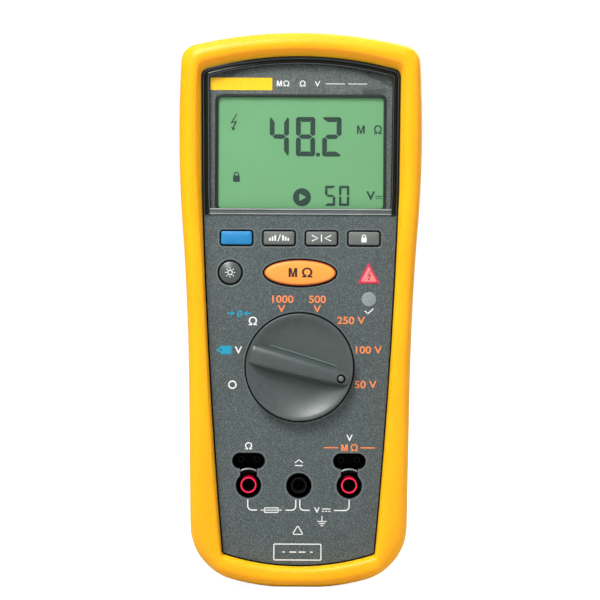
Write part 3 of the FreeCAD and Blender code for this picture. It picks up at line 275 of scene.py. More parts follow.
boot_rubber()
textured_case("case_plastic", (0.045, 0.061, 0.063), (0.155, 0.196, 0.2), (0.016, 0.023, 0.024))
# A lighter, glossier copy of the panel plastic for the lips round holes: their shape catches real light, and
# the lighter colour is painted highlight.
moulded("case_edge", (0.11, 0.135, 0.14), 0.32, grain_height=0.0, Specular_IOR_Level=0.55)
moulded("bezel_plastic", (0.004, 0.0055, 0.0055), 0.1, grain_height=0.0003)
clear_pane("window_plastic")
# Painted highlight: lighter lines laid along the bezel's ridges.
moulded("bezel_edge", (0.055, 0.066, 0.066), 0.2, grain_height=0.0)
# Painted highlight: pale lines along the pane's lower edge.
moulded("pane_line", (0.4, 0.46, 0.45), 0.25, grain_height=0.0)
moulded("window_edge", (0.1, 0.115, 0.115), 0.12, grain_height=0.0)
textured_case("mask_print", (0.082, 0.103, 0.098), (0.2, 0.235, 0.225), (0.024, 0.032, 0.03))
moulded("screen_frame", (0.012, 0.016, 0.015), 0.35)
moulded("screen_glass", (0.15, 0.375, 0.178), 0.35, spread=0.03, patch=30.0, grain_height=0.0)
moulded("light_guide", (0.8, 0.86, 0.8), 0.3)
moulded("carrier_plastic", (0.6, 0.6, 0.57), 0.5)
moulded("black_rubber", (0.02, 0.02, 0.021), 0.7, grain_height=0.01)
moulded("edge_seal", (0.004, 0.005, 0.005), 0.5)
moulded("mat_rubber", (0.3, 0.31, 0.32), 0.6)
moulded("circuit_board", (0.01, 0.12, 0.04), 0.35, spread=0.3, patch=3.0)
moulded("component_black", (0.02, 0.02, 0.022), 0.45)
moulded("ferrite", (0.05, 0.05, 0.055), 0.5, grain_height=0.02)
metal("capacitor_can", (0.72, 0.73, 0.75), 0.3)
metal("screw_steel", (0.5, 0.5, 0.5), 0.32)
moulded("blue_key", (0.003, 0.18, 0.42), 0.5, spread=0.08, grain_height=0.01)
moulded("grey_key", (0.105, 0.118, 0.112), 0.5, spread=0.1, grain_height=0.014)
moulded("dark_key", (0.056, 0.07, 0.068), 0.36, spread=0.1, grain_height=0.01)
moulded("orange_key", (0.9, 0.29, 0.042), 0.45, spread=0.06)
moulded("orange_rim", (0.42, 0.085, 0.008), 0.45)
glowing("alarm_lens", (0.72, 0.17, 0.17), 0.25)
glowing("alarm_edge", (0.6, 0.02, 0.07), 0.22)
# Painted light: the lit triangle's glow on the panel, as two faint glowing strips.
glowing("alarm_halo", (0.26, 0.075, 0.09), 0.1)
glowing("alarm_haze", (0.12, 0.07, 0.075), 0.02)
moulded("clear_lens", (0.2, 0.235, 0.245), 0.3, spread=0.08, patch=2.0)
moulded("knob_plastic", (0.044, 0.059, 0.058), 0.45, spread=0.1, patch=2.0, grain_size=0.4,
        grain_height=0.03, Specular_IOR_Level=0.6)
# A lighter copy of the knob plastic: a painted highlight along the foot of the grip.
moulded("knob_edge", (0.1, 0.125, 0.12), 0.35, grain_height=0.004)
moulded("pointer_plastic", (0.1, 0.115, 0.115), 0.25)
moulded("spindle_plastic", (0.75, 0.72, 0.62), 0.4)
moulded("red_socket", (0.86, 0.012, 0.07), 0.25, spread=0.08, patch=2.0)
moulded("black_socket", (0.002, 0.0025, 0.0025), 0.3, Specular_IOR_Level=0.2)
# Painted highlight: a light grey for the collars across the socket necks.
moulded("neck_light", (0.2, 0.235, 0.24), 0.3, grain_height=0.0)
# Near-black used as painted shade in gaps, on hole walls and in wells; also the ring round the pointer dot.
moulded("well_black", (0.001, 0.001, 0.001), 0.6, Specular_IOR_Level=0.06)
metal("contact_brass", (0.78, 0.6, 0.3), 0.28)
# Painted shade: a near-black metal for the contacts down in the dark wells.
metal("contact_dark", (0.012, 0.012, 0.012), 0.4)
moulded("tray_plastic", (0.03, 0.033, 0.034), 0.5)
banded("cell_jacket", (0.03, 0.075, 0.11), (0.45, 0.47, 0.48), 0.3, "battery_cell_1")
moulded("fuse_ceramic", (0.8, 0.78, 0.72), 0.25)
moulded("label_film", (0.42, 0.44, 0.45), 0.35, spread=0.04)
printed("white_print", (0.72, 0.74, 0.74))
printed("orange_print", (0.78, 0.215, 0.06))
printed("blue_print", (0.002, 0.26, 0.42))
printed("dark_print", (0.022, 0.012, 0.01))
printed("alarm_print", (0.25, 0.025, 0.05))
printed("label_print", (0.03, 0.032, 0.034))
printed("plate_print", (1.0, 0.56, 0.004))
printed("segment_ink", (0.012, 0.045, 0.033), 0.5)

# Painted shade: parts at the bottom of the dark wells get near-black finishes, so no bright metal shows.
PAINTED_SHADE_FINISHES = {
    "left_jack_socket": "contact_dark", "common_jack_socket": "contact_dark",
    "right_jack_socket": "contact_dark", "probe_port_contacts": "contact_dark", "jack_block": "well_black",
}


def dress_frame():
    """Gives every carried-over CAD node the material of its slot, or the near-black painted-shade finish
    listed for it.
    """
    slots = {part["node"]: part["material_slot"] for part in frame["record"]["subparts"]}
    for name, thing in nodes.items():
        thing.data.materials.clear()
        thing.data.materials.append(MATERIALS[PAINTED_SHADE_FINISHES.get(name, slots[name])])


# Pieces.


def piece(name, mesh, finish, body="tester", replaced=()):
    """Puts a mesh in the scene, riding on its body, in a finish that belongs to one of the record's slots."""
    thing = bpy.data.objects.new(name, mesh)
    bpy.context.scene.collection.objects.link(thing)
    mesh.materials.clear()
    mesh.materials.append(MATERIALS[finish])
    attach(thing, body)
    if replaced:
        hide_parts(*replaced)
    return thing


def mesh_of(name, points, faces, sharp_angle=35.0):
    """A mesh from points and faces, outward-facing, smooth except at sharp edges."""
    mesh = bpy.data.meshes.new(name)
    mesh.from_pydata([tuple(point) for point in points], [], faces)
    work = bmesh.new()
    work.from_mesh(mesh)
    bmesh.ops.remove_doubles(work, verts=work.verts, dist=1e-7)
    bmesh.ops.recalc_face_normals(work, faces=work.faces)
    work.to_mesh(mesh)
    work.free()
    mesh.shade_smooth()
    mesh.set_sharp_from_angle(angle=math.radians(sharp_angle))
    return mesh


def loft(name, rows, closed_across=True, closed_along=False, sharp_angle=35.0, capped=False,
         capped_along=False):
    """A surface through rows of points that have the same count.

    capped closes both ends of an open band, capped_along fills the first and the last row.
    """
    count = len(rows[0])
    faces = []
    last_row = len(rows) if closed_along else len(rows) - 1
    last_point = count if closed_across else count - 1
    for row in range(last_row):
        following = (row + 1) % len(rows)
        for index in range(last_point):
            beside = (index + 1) % count
            faces.append((row * count + index, row * count + beside, following * count + beside,
                          following * count + index))
    if capped:
        faces.append([row * count for row in range(len(rows))])
        faces.append([row * count + count - 1 for row in range(len(rows))])
    if capped_along:
        faces.append(list(range(count)))
        faces.append([(len(rows) - 1) * count + index for index in range(count)])
    points = [point for row in rows for point in row]
    return mesh_of(name, points, faces, sharp_angle)


# Flat paths, in millimetres.


def circle(x, z, radius, count=64, start=0.0, sweep=360.0):
    """Points round a circle, or along an arc of it when sweep is under a full turn."""
    steps = count if sweep >= 360 else count - 1
    turns = [math.radians(start + sweep * step / steps) for step in range(count)]
    return [(x + radius * math.cos(turn), z + radius * math.sin(turn)) for turn in turns]


def oval(x, z, half_wide, half_high, count=96):
    """Points round an ellipse."""
    turns = [2 * math.pi * step / count for step in range(count)]
    return [(x + half_wide * math.cos(turn), z + half_high * math.sin(turn)) for turn in turns]


def rounded(corners, radius, count=8):
    """A polygon, anticlockwise, with its corners rounded."""
    path = []
    for index, corner in enumerate(corners):
        here = Vector(corner)
        before = (Vector(corners[index - 1]) - here).normalized()
        after = (Vector(corners[(index + 1) % len(corners)]) - here).normalized()
        half = before.angle(after) / 2
        reach = radius / math.tan(half)
        centre = here + (before + after).normalized() * radius / math.sin(half)
        first, last = here + before * reach - centre, here + after * reach - centre
        swing = first.angle_signed(last)
        for step in range(count):
            spin = -swing * step / (count - 1)
            turned = Vector((first.x * math.cos(spin) - first.y * math.sin(spin),
                             first.x * math.sin(spin) + first.y * math.cos(spin)))
            path.append(tuple(centre + turned))
    return path


def rectangle(x, z, half_wide, half_high, radius, count=8):
    """A rounded rectangle."""
    sides = ((-1, -1), (1, -1), (1, 1), (-1, 1))
    return rounded([(x + half_wide * across, z + half_high * up) for across, up in sides], radius, count)


def normals_of(path, closed):
    """Unit normals along a path, to the right of its direction: outwards when it runs anticlockwise."""
    count = len(path)
    normals = []
    for index in range(count):
        ahead = path[(index + 1) % count] if closed else path[min(index + 1, count - 1)]
        behind = path[index - 1] if closed else path[max(index - 1, 0)]
        along = (Vector(ahead) - Vector(behind)).normalized()
        normals.append(Vector((along.y, -along.x)))
    return normals


def row_at(path, normals, reach, depth):
    """A path moved outwards by a reach, at one depth."""
    return [mm(x + normal.x * reach, depth, z + normal.y * reach) for (x, z), normal in zip(path, normals)]


def sweep(name, path, profile, finish, body="tester", closed=True, replaced=(), sharp_angle=40.0):
    """A band of constant section along a path. The profile is closed: (reach outwards, depth) pairs."""
    normals = normals_of(path, closed)
    rows = [row_at(path, normals, reach, depth) for reach, depth in profile]
    mesh = loft(name, rows, closed_across=closed, closed_along=True, sharp_angle=sharp_angle,
                capped=not closed)
    return piece(name, mesh, finish, body, replaced)


def button(name, outline, profile, finish, body="tester", replaced=(), sharp_angle=40.0):
    """A cap: outline(inset) gives its edge, the profile climbs from the back in (inset, depth) pairs."""
    rows = [[mm(x, depth, z) for x, z in outline(inset)] for inset, depth in profile]
    mesh = loft(name, rows, sharp_angle=sharp_angle, capped_along=True)
    return piece(name, mesh, finish, body, replaced)


OHM = "\u03a9"


class Ink:
    """A thin raised layer of marks that ends up as one piece. Places are measured from its origin."""

    def __init__(self, depth, x=0.0, z=0.0, thickness=0.05):
        self.work = bmesh.new()
        self.depth = depth
        self.origin = (x, z)
        self.thickness = thickness

    def add(self, data, x, z, stretch=1.0):
        """Turns curve data into mesh at a place on the panel."""
        data.extrude = mm(self.thickness / 2)
        mesh = bpy.data.meshes.new_from_object(bpy.data.objects.new(data.name, data))
        place = Matrix.Translation(mm(self.origin[0] + x, self.depth, self.origin[1] + z))
        upright = Matrix.Rotation(math.radians(90), 4, "X")
        mesh.transform(place @ upright @ Matrix.Diagonal((stretch, 1, 1, 1)))
        self.work.from_mesh(mesh)
        bpy.data.meshes.remove(mesh)

    def figures(self, text, x, z, height, stretch=1.12, slant=0.0, bold=0.0):
        """Centred figures or unit letters whose capital height is given; z is their baseline."""
        data = bpy.data.curves.new("figures", "FONT")
        data.body = text
        data.size = mm(height / 0.72)
        data.align_x = "CENTER"
        data.shear = slant
        data.offset = mm(bold)
        self.add(data, x, z, stretch)

    def mega(self, x, z, height, stroke):
        """The letter of the unit prefix for a million, centred on x."""
        half, top, lean = height * 0.48, z + height, stroke * 1.25
        right = [(stroke * 0.45, z), (half - stroke, top - lean * 1.3), (half - stroke, z), (half, z),
                 (half, top), (half - lean, top)]
        left = [(-across, up) for across, up in right[::-1]]
        self.shape([(x + across, up) for across, up in right + [(0.0, z + lean * 1.1)] + left])

    def bar(self, x, z, half_wide, half_high, radius=0.05):
        """A filled rectangle with slightly rounded corners."""
        self.shape(rectangle(x, z, half_wide, half_high, radius, 3))

    def shape(self, *outlines):
        """A filled shape; further outlines inside the first one are holes."""
        data = bpy.data.curves.new("shape", "CURVE")
        data.dimensions = "2D"
        data.fill_mode = "BOTH"
        for outline in outlines:
            spline = data.splines.new("POLY")
            spline.points.add(len(outline) - 1)
            for point, (x, z) in zip(spline.points, outline):
                point.co = (mm(x), mm(z), 0, 1)
            spline.use_cyclic_u = True
        self.add(data, 0, 0)

    def stroke(self, path, width, closed=False):
        """A line of even width along a path."""
        normals = normals_of(path, closed)
        sides = [[(x + normal.x * reach, z + normal.y * reach) for (x, z), normal in zip(path, normals)]
                 for reach in (width / 2, -width / 2)]
        if closed:
            self.shape(*sides)
        else:
            self.shape(sides[0] + sides[1][::-1])

    def finish(self, name, finish, body="tester"):
        """Makes the piece."""
        mesh = bpy.data.meshes.new(name)
        self.work.to_mesh(mesh)
        self.work.free()
        return piece(name, mesh, finish, body)


# Outlines read from the frame.

STATIONS = 640
MARK_LIFT = 0.02
MIDDLE = Vector((0.0, cad_high.z / 2))
FLANGE = 1.1


def box_of(node):
    """A node's low and high corners in millimetres, as three (low, high) pairs and its middle."""
    low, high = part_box(node)
    bounds = [(low[axis] * 1000, high[axis] * 1000) for axis in range(3)]
    return bounds, [(first + last) / 2 for first, last in bounds]


def cap_of(node, flange=FLANGE):
    """A cap's middle, its front, and its half sizes without the flange that holds it in."""
    (wide, deep, high), (x, _, z) = box_of(node)
    return x, z, deep[0], (wide[1] - wide[0]) / 2 - flange, (high[1] - high[0]) / 2 - flange


def ring_at(node, depth, pick):
    """The outline of a node's edges at one depth, as places by angle round the middle.

    pick is min for the innermost outline and max for the outermost one.
    """
    mesh = nodes[node].data
    places = {vertex.index: Vector((vertex.co.x, vertex.co.z)) - MIDDLE for vertex in mesh.vertices
              if abs(vertex.co.y - mm(depth)) < 1e-6}
    samples = 4 * STATIONS
    step = 2 * math.pi / samples
    rays = [Vector((math.cos(key * step), math.sin(key * step))) for key in range(samples)]
    reach = {}
    for edge in mesh.edges:
        if any(index not in places for index in edge.vertices):
            continue
        a, b = (places[index] for index in edge.vertices)
        start = math.atan2(a.y, a.x)
        turn = (math.atan2(b.y, b.x) - start + math.pi) % (2 * math.pi) - math.pi
        if turn < 0:
            start, turn, a, b = start + turn, -turn, b, a
        along = b - a
        for number in range(math.ceil(start / step - 1e-6), math.floor((start + turn) / step + 1e-6) + 1):
            key = number % samples
            cross = rays[key].x * along.y - rays[key].y * along.x
            if abs(cross) >= 1e-12:
                distance = (a.x * along.y - a.y * along.x) / cross
                reach[key] = pick(distance, reach.get(key, distance))
    return [MIDDLE + reach[key] * ray for key, ray in enumerate(rays)]


def even_stations(ring):
    """Indices into a ring that are evenly spaced along it."""
    lengths = [0.0]
    for first, second in zip(ring, ring[1:] + ring[:1]):
        lengths.append(lengths[-1] + (second - first).length)
    indices = []
    place = 0
    for station in range(STATIONS):
        target = lengths[-1] * station / STATIONS
        while lengths[place + 1] < target:
            place += 1
        indices.append(place)
    return indices


def relaxed(ring, rounds=6):
    """The ring with its tiny facets evened out."""
    for _ in range(rounds):
        ring = [ring[index] * 0.5 + (ring[index - 1] + ring[(index + 1) % len(ring)]) * 0.25
                for index in range(len(ring))]
    return ring


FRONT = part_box("holster")[0].y * 1000
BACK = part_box("holster")[1].y * 1000
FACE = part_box("front_case")[0].y * 1000
BOOT_TOP = cad_high.z * 1000
CASE_BACK = 23.0
RIM_ROUND = 5.0
CREST_HEIGHT = 6.2
BACK_ROUND = 5.5


def part_way(start, end, share, depth):
    """A point part of the way from one place to another, at a depth."""
    return Vector((start.x + (end.x - start.x) * share, mm(depth), start.y + (end.y - start.y) * share))


def between(outer, inner, share, depth):
    """A row of points part of the way from one ring to another, at one depth."""
    return [part_way(a, b, share, depth) for a, b in zip(outer, inner)]


OPENING = ring_at("holster", FACE, min)


def opening_part(low, high, spacing=0.6):
    """The edge of the boot's opening between two heights, anticlockwise from the foot, in millimetres."""
    foot = 3 * len(OPENING) // 4
    kept = []
    for point in OPENING[foot:] + OPENING[:foot]:
        place = (point.x * 1000, point.y * 1000)
        if low <= place[1] <= high and not (kept and math.dist(place, kept[-1]) < spacing):
            kept.append(place)
    return kept


GROOVE_LOW, GROOVE_HIGH, GROOVE_PITCH, GROOVE_SUNK = 52.0, 142.0, 9.0, 1.2
GROOVE_ROWS = ((15.0, 0.0), (13.8, 0.5), (12.8, 1.0), (2.0, 1.0), (-9.0, 1.0), (-10.0, 0.5), (-11.2, 0.0))


def grooved(point, depth, amount):
    """A point on the boot's side, sunk where one of the finger grooves across it runs."""
    height = point.y * 1000
    sunk = 0.0
    if GROOVE_LOW < height < GROOVE_HIGH and abs(point.x) > mm(30):
        wave = 0.5 + 0.5 * math.cos(2 * math.pi * (height - GROOVE_LOW) / GROOVE_PITCH + math.pi)
        sunk = GROOVE_SUNK * amount * wave ** 2
    return Vector((point.x - math.copysign(mm(sunk), point.x), mm(depth), point.y))


def make_boot():
    """Rubber boot: a rounded rim with a bevel inside it, crowned sides and a lip at the back."""
    outer_all = ring_at("holster", FRONT + RIM_ROUND, max)
    picks = even_stations(outer_all)
    outer = relaxed([outer_all[index] for index in picks])
    opening = [OPENING[index] for index in picks]
    window_all = ring_at("holster", BACK, min)
    window = [window_all[index] for index in picks]
    rows = []
    # Side and rim: an elliptical quarter from the side to the crest.
    for step in range(9):
        turn = math.pi / 2 * step / 8
        share = 0.5 * (1 - math.cos(turn))
        rows.append(between(outer, opening, share, FRONT + CREST_HEIGHT * (1 - math.sin(turn))))
    # From the crest a gentle fall to the inner bevel, which is wide at the top and thin below.
    bevel = []
    for point, edge in zip(outer, opening):
        away = (point - edge).normalized()
        facing_up = max(0.0, away.y) ** 2
        bevel.append(min(1.0, max(0.0, (point.y - mm(120)) / mm(45))) * (0.3 + 0.7 * facing_up))
    for wide, thin, wide_depth, thin_depth in (
            (0.58, 0.66, 0.06, 0.08), (0.66, 0.80, 0.2, 0.30), (0.70, 0.875, 0.38, 0.62),
            (0.73, 0.915, 0.66, 1.0), (0.93, 0.965, 2.9, 1.9), (0.965, 0.985, 3.35, 2.5),
            (0.995, 0.998, 3.8, 3.1)):
        rows.append([part_way(a, b, thin + (wide - thin) * amount,
                              FRONT + thin_depth + (wide_depth - thin_depth) * amount)
                     for a, b, amount in zip(outer, opening, bevel)])
    for inner, share, depth in (
            (opening, 1.0, FACE - 0.02), (opening, 0.62, FACE + 0.02), (window, 0.63, CASE_BACK),
            (window, 1.0, CASE_BACK), (window, 1.0, BACK - 0.7), (window, 0.97, BACK - 0.2),
            (window, 0.92, BACK)):
        rows.append(between(outer, inner, share, depth))
    for step in range(9):
        turn = math.pi / 2 * (1 - step / 8)
        share = 0.6 * (1 - math.cos(turn))
        rows.append(between(outer, window, share, BACK - BACK_ROUND * (1 - math.sin(turn))))
    for depth, amount in GROOVE_ROWS:
        rows.append([grooved(point, depth, amount) for point in outer])
    mesh = loft("boot", rows, closed_along=True, sharp_angle=50.0)
    piece("boot", mesh, "boot_rubber", replaced=["holster"])


# Display.


LENS = box_of("display_lens")[0]
WINDOW_LOW = LENS[2][0]
SCREEN_FACE = box_of("lcd_glass")[0][1][0]
SCREEN = box_of("backlight_panel")[0]
SCREEN_HALF = SCREEN[0][1]
SCREEN_TOP = SCREEN[2][1]
SCREEN_LOW = SCREEN[2][0] - 1.4


def make_bezel():
    """Black frame with two ridges round the window and painted highlight lines on them, a black strip of
    painted shade along the panel's edge, and the pane's thick lower edge with painted highlight lines.
    """
    ridges = [(0.0, -18.2), (0.0, -19.95), (-0.15, -20.2), (-0.45, -20.28), (-0.8, -20.15), (-1.0, -19.75),
              (-1.2, -19.7), (-1.45, -19.75), (-1.65, -20.1), (-2.0, -20.3), (-2.35, -20.25), (-2.6, -19.95),
              (-3.0, -19.6), (-3.0, -18.2)]
    window = opening_part(WINDOW_LOW, BOOT_TOP)
    sweep("bezel", window, ridges, "bezel_plastic", closed=False, replaced=["display_bezel"])
    # Painted highlight: a lighter line along each ridge.
    for name, low, high in (("outer", -0.95, -0.75), ("inner", -2.75, -2.5)):
        line = [(high, -20.1), (high, -20.24), (low, -20.26), (low, -20.1)]
        sweep(f"bezel_highlight_{name}", window, line, "bezel_edge", closed=False)
    # Painted shade: a black strip along the panel's edge where the boot meets it.
    seal = [(0.05, -19.3), (0.05, -19.62), (-0.2, -19.7), (-0.55, -19.62), (-0.6, -19.3)]
    path = opening_part(0, WINDOW_LOW)
    turn = max(range(len(path) - 1), key=lambda index: math.dist(path[index], path[index + 1]))
    sweep("panel_edge_shade", path[turn + 1:] + path[:turn + 1], seal, "well_black", closed=False)
    bead = [(0.0, -18.3), (0.0, -19.75), (0.18, -19.98), (0.5, -19.98), (0.7, -19.75), (1.6, -19.7),
            (1.85, -19.98), (2.15, -20.0), (2.4, -19.8), (2.4, -18.3)]
    left, right = LENS[0]
    foot = [(right, WINDOW_LOW), (0, WINDOW_LOW), (left, WINDOW_LOW)]
    sweep("window_foot", foot, bead, "window_edge", closed=False)
    # Painted highlight: two pale lines along the pane's lower edge.
    lines = Ink(-20.0, 0, WINDOW_LOW)
    for height, half_high in ((2.05, 0.12), (0.3, 0.09)):
        lines.bar(0, height, right, half_high)
    lines.finish("window_foot_highlights", "pane_line")


def make_screen():
    """Dark frame round the liquid crystal, and the reading it shows."""
    middle = (SCREEN_TOP + SCREEN_LOW) / 2
    rim = rectangle(0, middle, SCREEN_HALF, SCREEN_TOP - middle, 1.5)
    slope = [(0.0, SCREEN_FACE + 0.1), (0.0, -17.7), (0.3, -18.15), (0.95, -18.3), (1.15, -18.15),
             (1.15, -17.95)]
    sweep("screen_frame", rim, slope, "screen_frame")
    ink = Ink(SCREEN_FACE - 0.05, 0, SCREEN_LOW, 0.04)
    for text, left, low, wide, high, stroke, pitch in (("482", -11.8, 19.8, 7.3, 14.9, 1.85, 9.95),
                                                       ("50", 9.3, 1.1, 3.9, 7.6, 0.95, 5.3)):
        for step, figure in enumerate(text):
            segments(ink, figure, left + pitch * step, low, wide, high, stroke)
    ink.bar(6.55, 20.48, 0.68, 0.68, 0.15)
    ink.mega(22.75, 28.5, 3.1, 0.62)
    ink.figures(OHM, 29.2, 28.5, 3.1, 1.0, bold=0.08)
    ink.figures("V", 26.6, 3.5, 3.2, 1.1, bold=0.12)
    for x, up, half in ((29.7, 4.8, 1.3), (28.75, 4.0, 0.33), (29.7, 4.0, 0.33), (30.65, 4.0, 0.33)):
        ink.bar(x, up, half, 0.16)
    ink.shape(bolt(-25.7, 35.8, 6.5))
    padlock(ink, -24.3, 10.0, 4.0)
    ink.shape(circle(0.55, 4.3, 3.4), rounded([(-0.45, 2.8), (2.25, 4.3), (-0.45, 5.8)], 0.25))
    ink.finish("reading", "segment_ink")


def segments(ink, figure, left, low, wide, high, stroke):
    """A seven-segment figure whose bars have mitred ends and meet across hairline gaps."""
    lit = {"0": "abcdef", "2": "abged", "4": "fgbc", "5": "afgcd", "8": "abcdefg"}[figure]
    gap, trim, half = stroke * 0.11, stroke * 0.28, stroke / 2
    edge, top, waist = wide / 2, high / 2, half * 0.9
    level = [(edge - gap, top - trim), (edge - gap - trim, top), (trim + gap - edge, top),
             (gap - edge, top - trim), (stroke + gap - edge, top - stroke),
             (edge - stroke - gap, top - stroke)]
    upright = [(edge, top - gap - trim), (edge - trim, top - gap), (edge - stroke, top - stroke - gap),
               (edge - stroke, waist + gap), (edge - half, gap), (edge, waist)]
    inner, outer = edge - stroke - gap, edge - half - gap
    centre = [(-outer, 0.0), (-inner, waist), (inner, waist), (outer, 0.0), (inner, -waist), (-inner, -waist)]
    bars = {"a": (level, 1, 1), "b": (upright, 1, 1), "c": (upright, 1, -1), "d": (level, 1, -1),
            "e": (upright, -1, -1), "f": (upright, -1, 1), "g": (centre, 1, 1)}
    for name in lit:
        outline, aside, upward = bars[name]
        ink.shape([(left + edge + across * aside, low + top + up * upward) for across, up in outline])


def bolt(x, z, high):
    """A lightning bolt that hangs from a height, as the outline of one zigzag."""
    points = [(0.19, 0.0), (-0.17, -0.58), (0.09, -0.5), (-0.01, -0.8), (-0.12, -0.76), (-0.01, -1.0),
              (0.14, -0.84), (0.05, -0.83), (0.24, -0.4), (-0.02, -0.47), (0.26, 0.0)]
    return [(x + across * high, z + up * high) for across, up in points]


def padlock(ink, x, z, high):
    """A closed padlock standing at a height."""
    half = high * 0.32
    ink.bar(x, z + high * 0.3, half, high * 0.3, high * 0.08)
    bow = [(x - half * 0.62, z + high * 0.6)] + circle(x, z + high * 0.7, half * 0.62, 14, 180, -180)
    ink.stroke(bow + [(x + half * 0.62, z + high * 0.6)], high * 0.11)


def make_mask_marks():
    """A blank yellow plate and a row of units above the screen."""
    surface = LENS[1][1] - MARK_LIFT
    plate = Ink(surface, 0, SCREEN_TOP, 0.08)
    plate.bar(-22.6, 4.9, 11.7, 2.35, 0.2)
    plate.finish("blank_plate", "plate_print")
    ink = Ink(surface, 0, SCREEN_TOP)
    ink.mega(-8.2, 4.1, 2.1, 0.5)
    for text, x in ((OHM, -5.6), (OHM, 0.6), ("V", 6.2)):
        ink.figures(text, x, 4.1, 2.1, bold=0.05)
    for x in (13.0, 21.4):
        ink.bar(x, 5.1, 3.6, 0.14)
    ink.finish("unit_row", "white_print")


# Keys and lamps.


CAP_BACK, FLANGE_FRONT = -15.75, -16.8


def crowned(front, half, drop=0.25, edge=0.35):
    """A cap's profile as (inset, depth): a flange, a straight side, a rounded edge and a slight crown."""
    return [(-FLANGE, CAP_BACK), (-FLANGE, FLANGE_FRONT), (0.0, FLANGE_FRONT), (0.0, front + edge + drop),
            (edge * 0.12, front + edge * 0.55 + drop), (edge * 0.45, front + edge * 0.16 + drop),
            (edge, front + drop), (half * 0.45, front + drop * 0.35), (half * 0.8, front)]


def lip_profile(start):
    """Section of the lip round a hole: a chamfer that looks into the hole, almost flush with the panel."""
    crest = [(0.0, -19.0), (0.0, -19.3), (0.14, -19.42), (0.36, -19.54), (0.48, -19.56), (0.6, -19.54),
             (0.62, -19.0)]
    return [(start + reach, depth) for reach, depth in crest]


def hole_collar(name, path, gap=0.58):
    """A black sleeve of painted shade in the gap of a panel hole, with a low rounded lip round it, which
    catches the light and is coloured lighter as a painted highlight.
    """
    # Painted shade: a black sleeve fills the gap between cap and hole.
    gap_shade = [(0.06, -18.0), (0.06, -19.2), (0.2, -19.55), (gap + 0.02, -19.58), (gap + 0.02, -18.0)]
    sweep(f"{name}_liner", path, gap_shade, "well_black")
    sweep(f"{name}_lip", path, lip_profile(gap), "case_edge")


def ratio_mark(ink):
    """Two groups of bars either side of a stroke."""
    for across, high in ((-3.4, 1.1), (-2.4, 1.6), (-1.4, 2.1), (1.5, 2.1), (2.5, 1.6), (3.5, 1.1)):
        ink.bar(across, high / 2 - 1.05, 0.31, high / 2, 0.06)
    ink.stroke([(-0.4, -1.3), (0.55, 1.3)], 0.34)


def compare_mark(ink):
    """Two arrowheads that meet at a line."""
    for side in (-1, 1):
        ink.stroke([(side * 3.6, 1.05), (side * 1.3, 0), (side * 3.6, -1.05)], 0.44)
    ink.bar(0, 0, 0.2, 1.35)


def lock_mark(ink):
    """A padlock."""
    padlock(ink, 0, -1.5, 3.1)


def make_key_row():
    """The four flat keys, three with a mark: bars for a ratio, two facing arrows, a padlock."""
    for name, finish, mark in (
            ("function_key", "blue_key", None), ("ratio_key", "grey_key", ratio_mark),
            ("compare_key", "grey_key", compare_mark), ("lock_key", "grey_key", lock_mark)):
        x, z, front, half_wide, half_high = cap_of(name)

        def outline(inset):
            return rectangle(x, z, half_wide - inset, half_high - inset, max(0.12, 0.75 - inset * 0.6), 6)

        button(f"{name}_cap", outline, crowned(front, half_high), finish, name, [name])
        hole_collar(name, outline(0))
        if mark:
            ink = Ink(front - MARK_LIFT, x, z)
            mark(ink)
            ink.finish(f"{name}_mark", "white_print", name)


def make_lamp_key():
    """The round key with a sun on it that lights the display."""
    name = "backlight_key"
    x, z, front, radius, _ = cap_of(name)
    button(f"{name}_cap", lambda inset: circle(x, z, radius - inset, 72),
           crowned(front, radius, drop=0.9, edge=0.5), "dark_key", name, [name])
    hole_collar(name, circle(x, z, radius, 72))
    ink = Ink(front - MARK_LIFT, x, z)
    ink.stroke(circle(0, 0, 0.85, 28), 0.3, closed=True)
    for step in range(8):
        turn = math.radians(45 * step)
        ink.stroke([(reach * math.cos(turn), reach * math.sin(turn)) for reach in (1.35, 1.95)], 0.27)
    ink.finish(f"{name}_mark", "white_print", name)


def make_test_key():
    """The long oval key that starts a test, in a darker rim."""
    name = "test_button"
    x, z, front, half_wide, half_high = cap_of(name)

    def outline(inset):
        return oval(x, z, half_wide - inset, half_high - inset)

    button(f"{name}_rim", outline,
           [(-FLANGE, CAP_BACK), (-FLANGE, FLANGE_FRONT), (0.0, FLANGE_FRONT), (0.0, front + 0.6),
            (0.15, front + 0.42), (0.4, front + 0.4), (0.5, front + 0.9), (1.0, front + 1.0)],
           "orange_rim", name, [name])
    button(f"{name}_cap", outline,
           [(0.42, front + 1.0), (0.42, front + 0.42), (0.55, front + 0.25), (0.9, front + 0.16),
            (2.0, front + 0.06), (3.6, front)], "orange_key", name)
    hole_collar(name, outline(0))
    ink = Ink(front - MARK_LIFT, x, z)
    ink.mega(-2.7, -1.6, 3.4, 0.85)
    ink.figures(OHM, 2.7, -1.6, 3.4, 1.2, bold=0.12)
    ink.finish(f"{name}_mark", "dark_print", name)


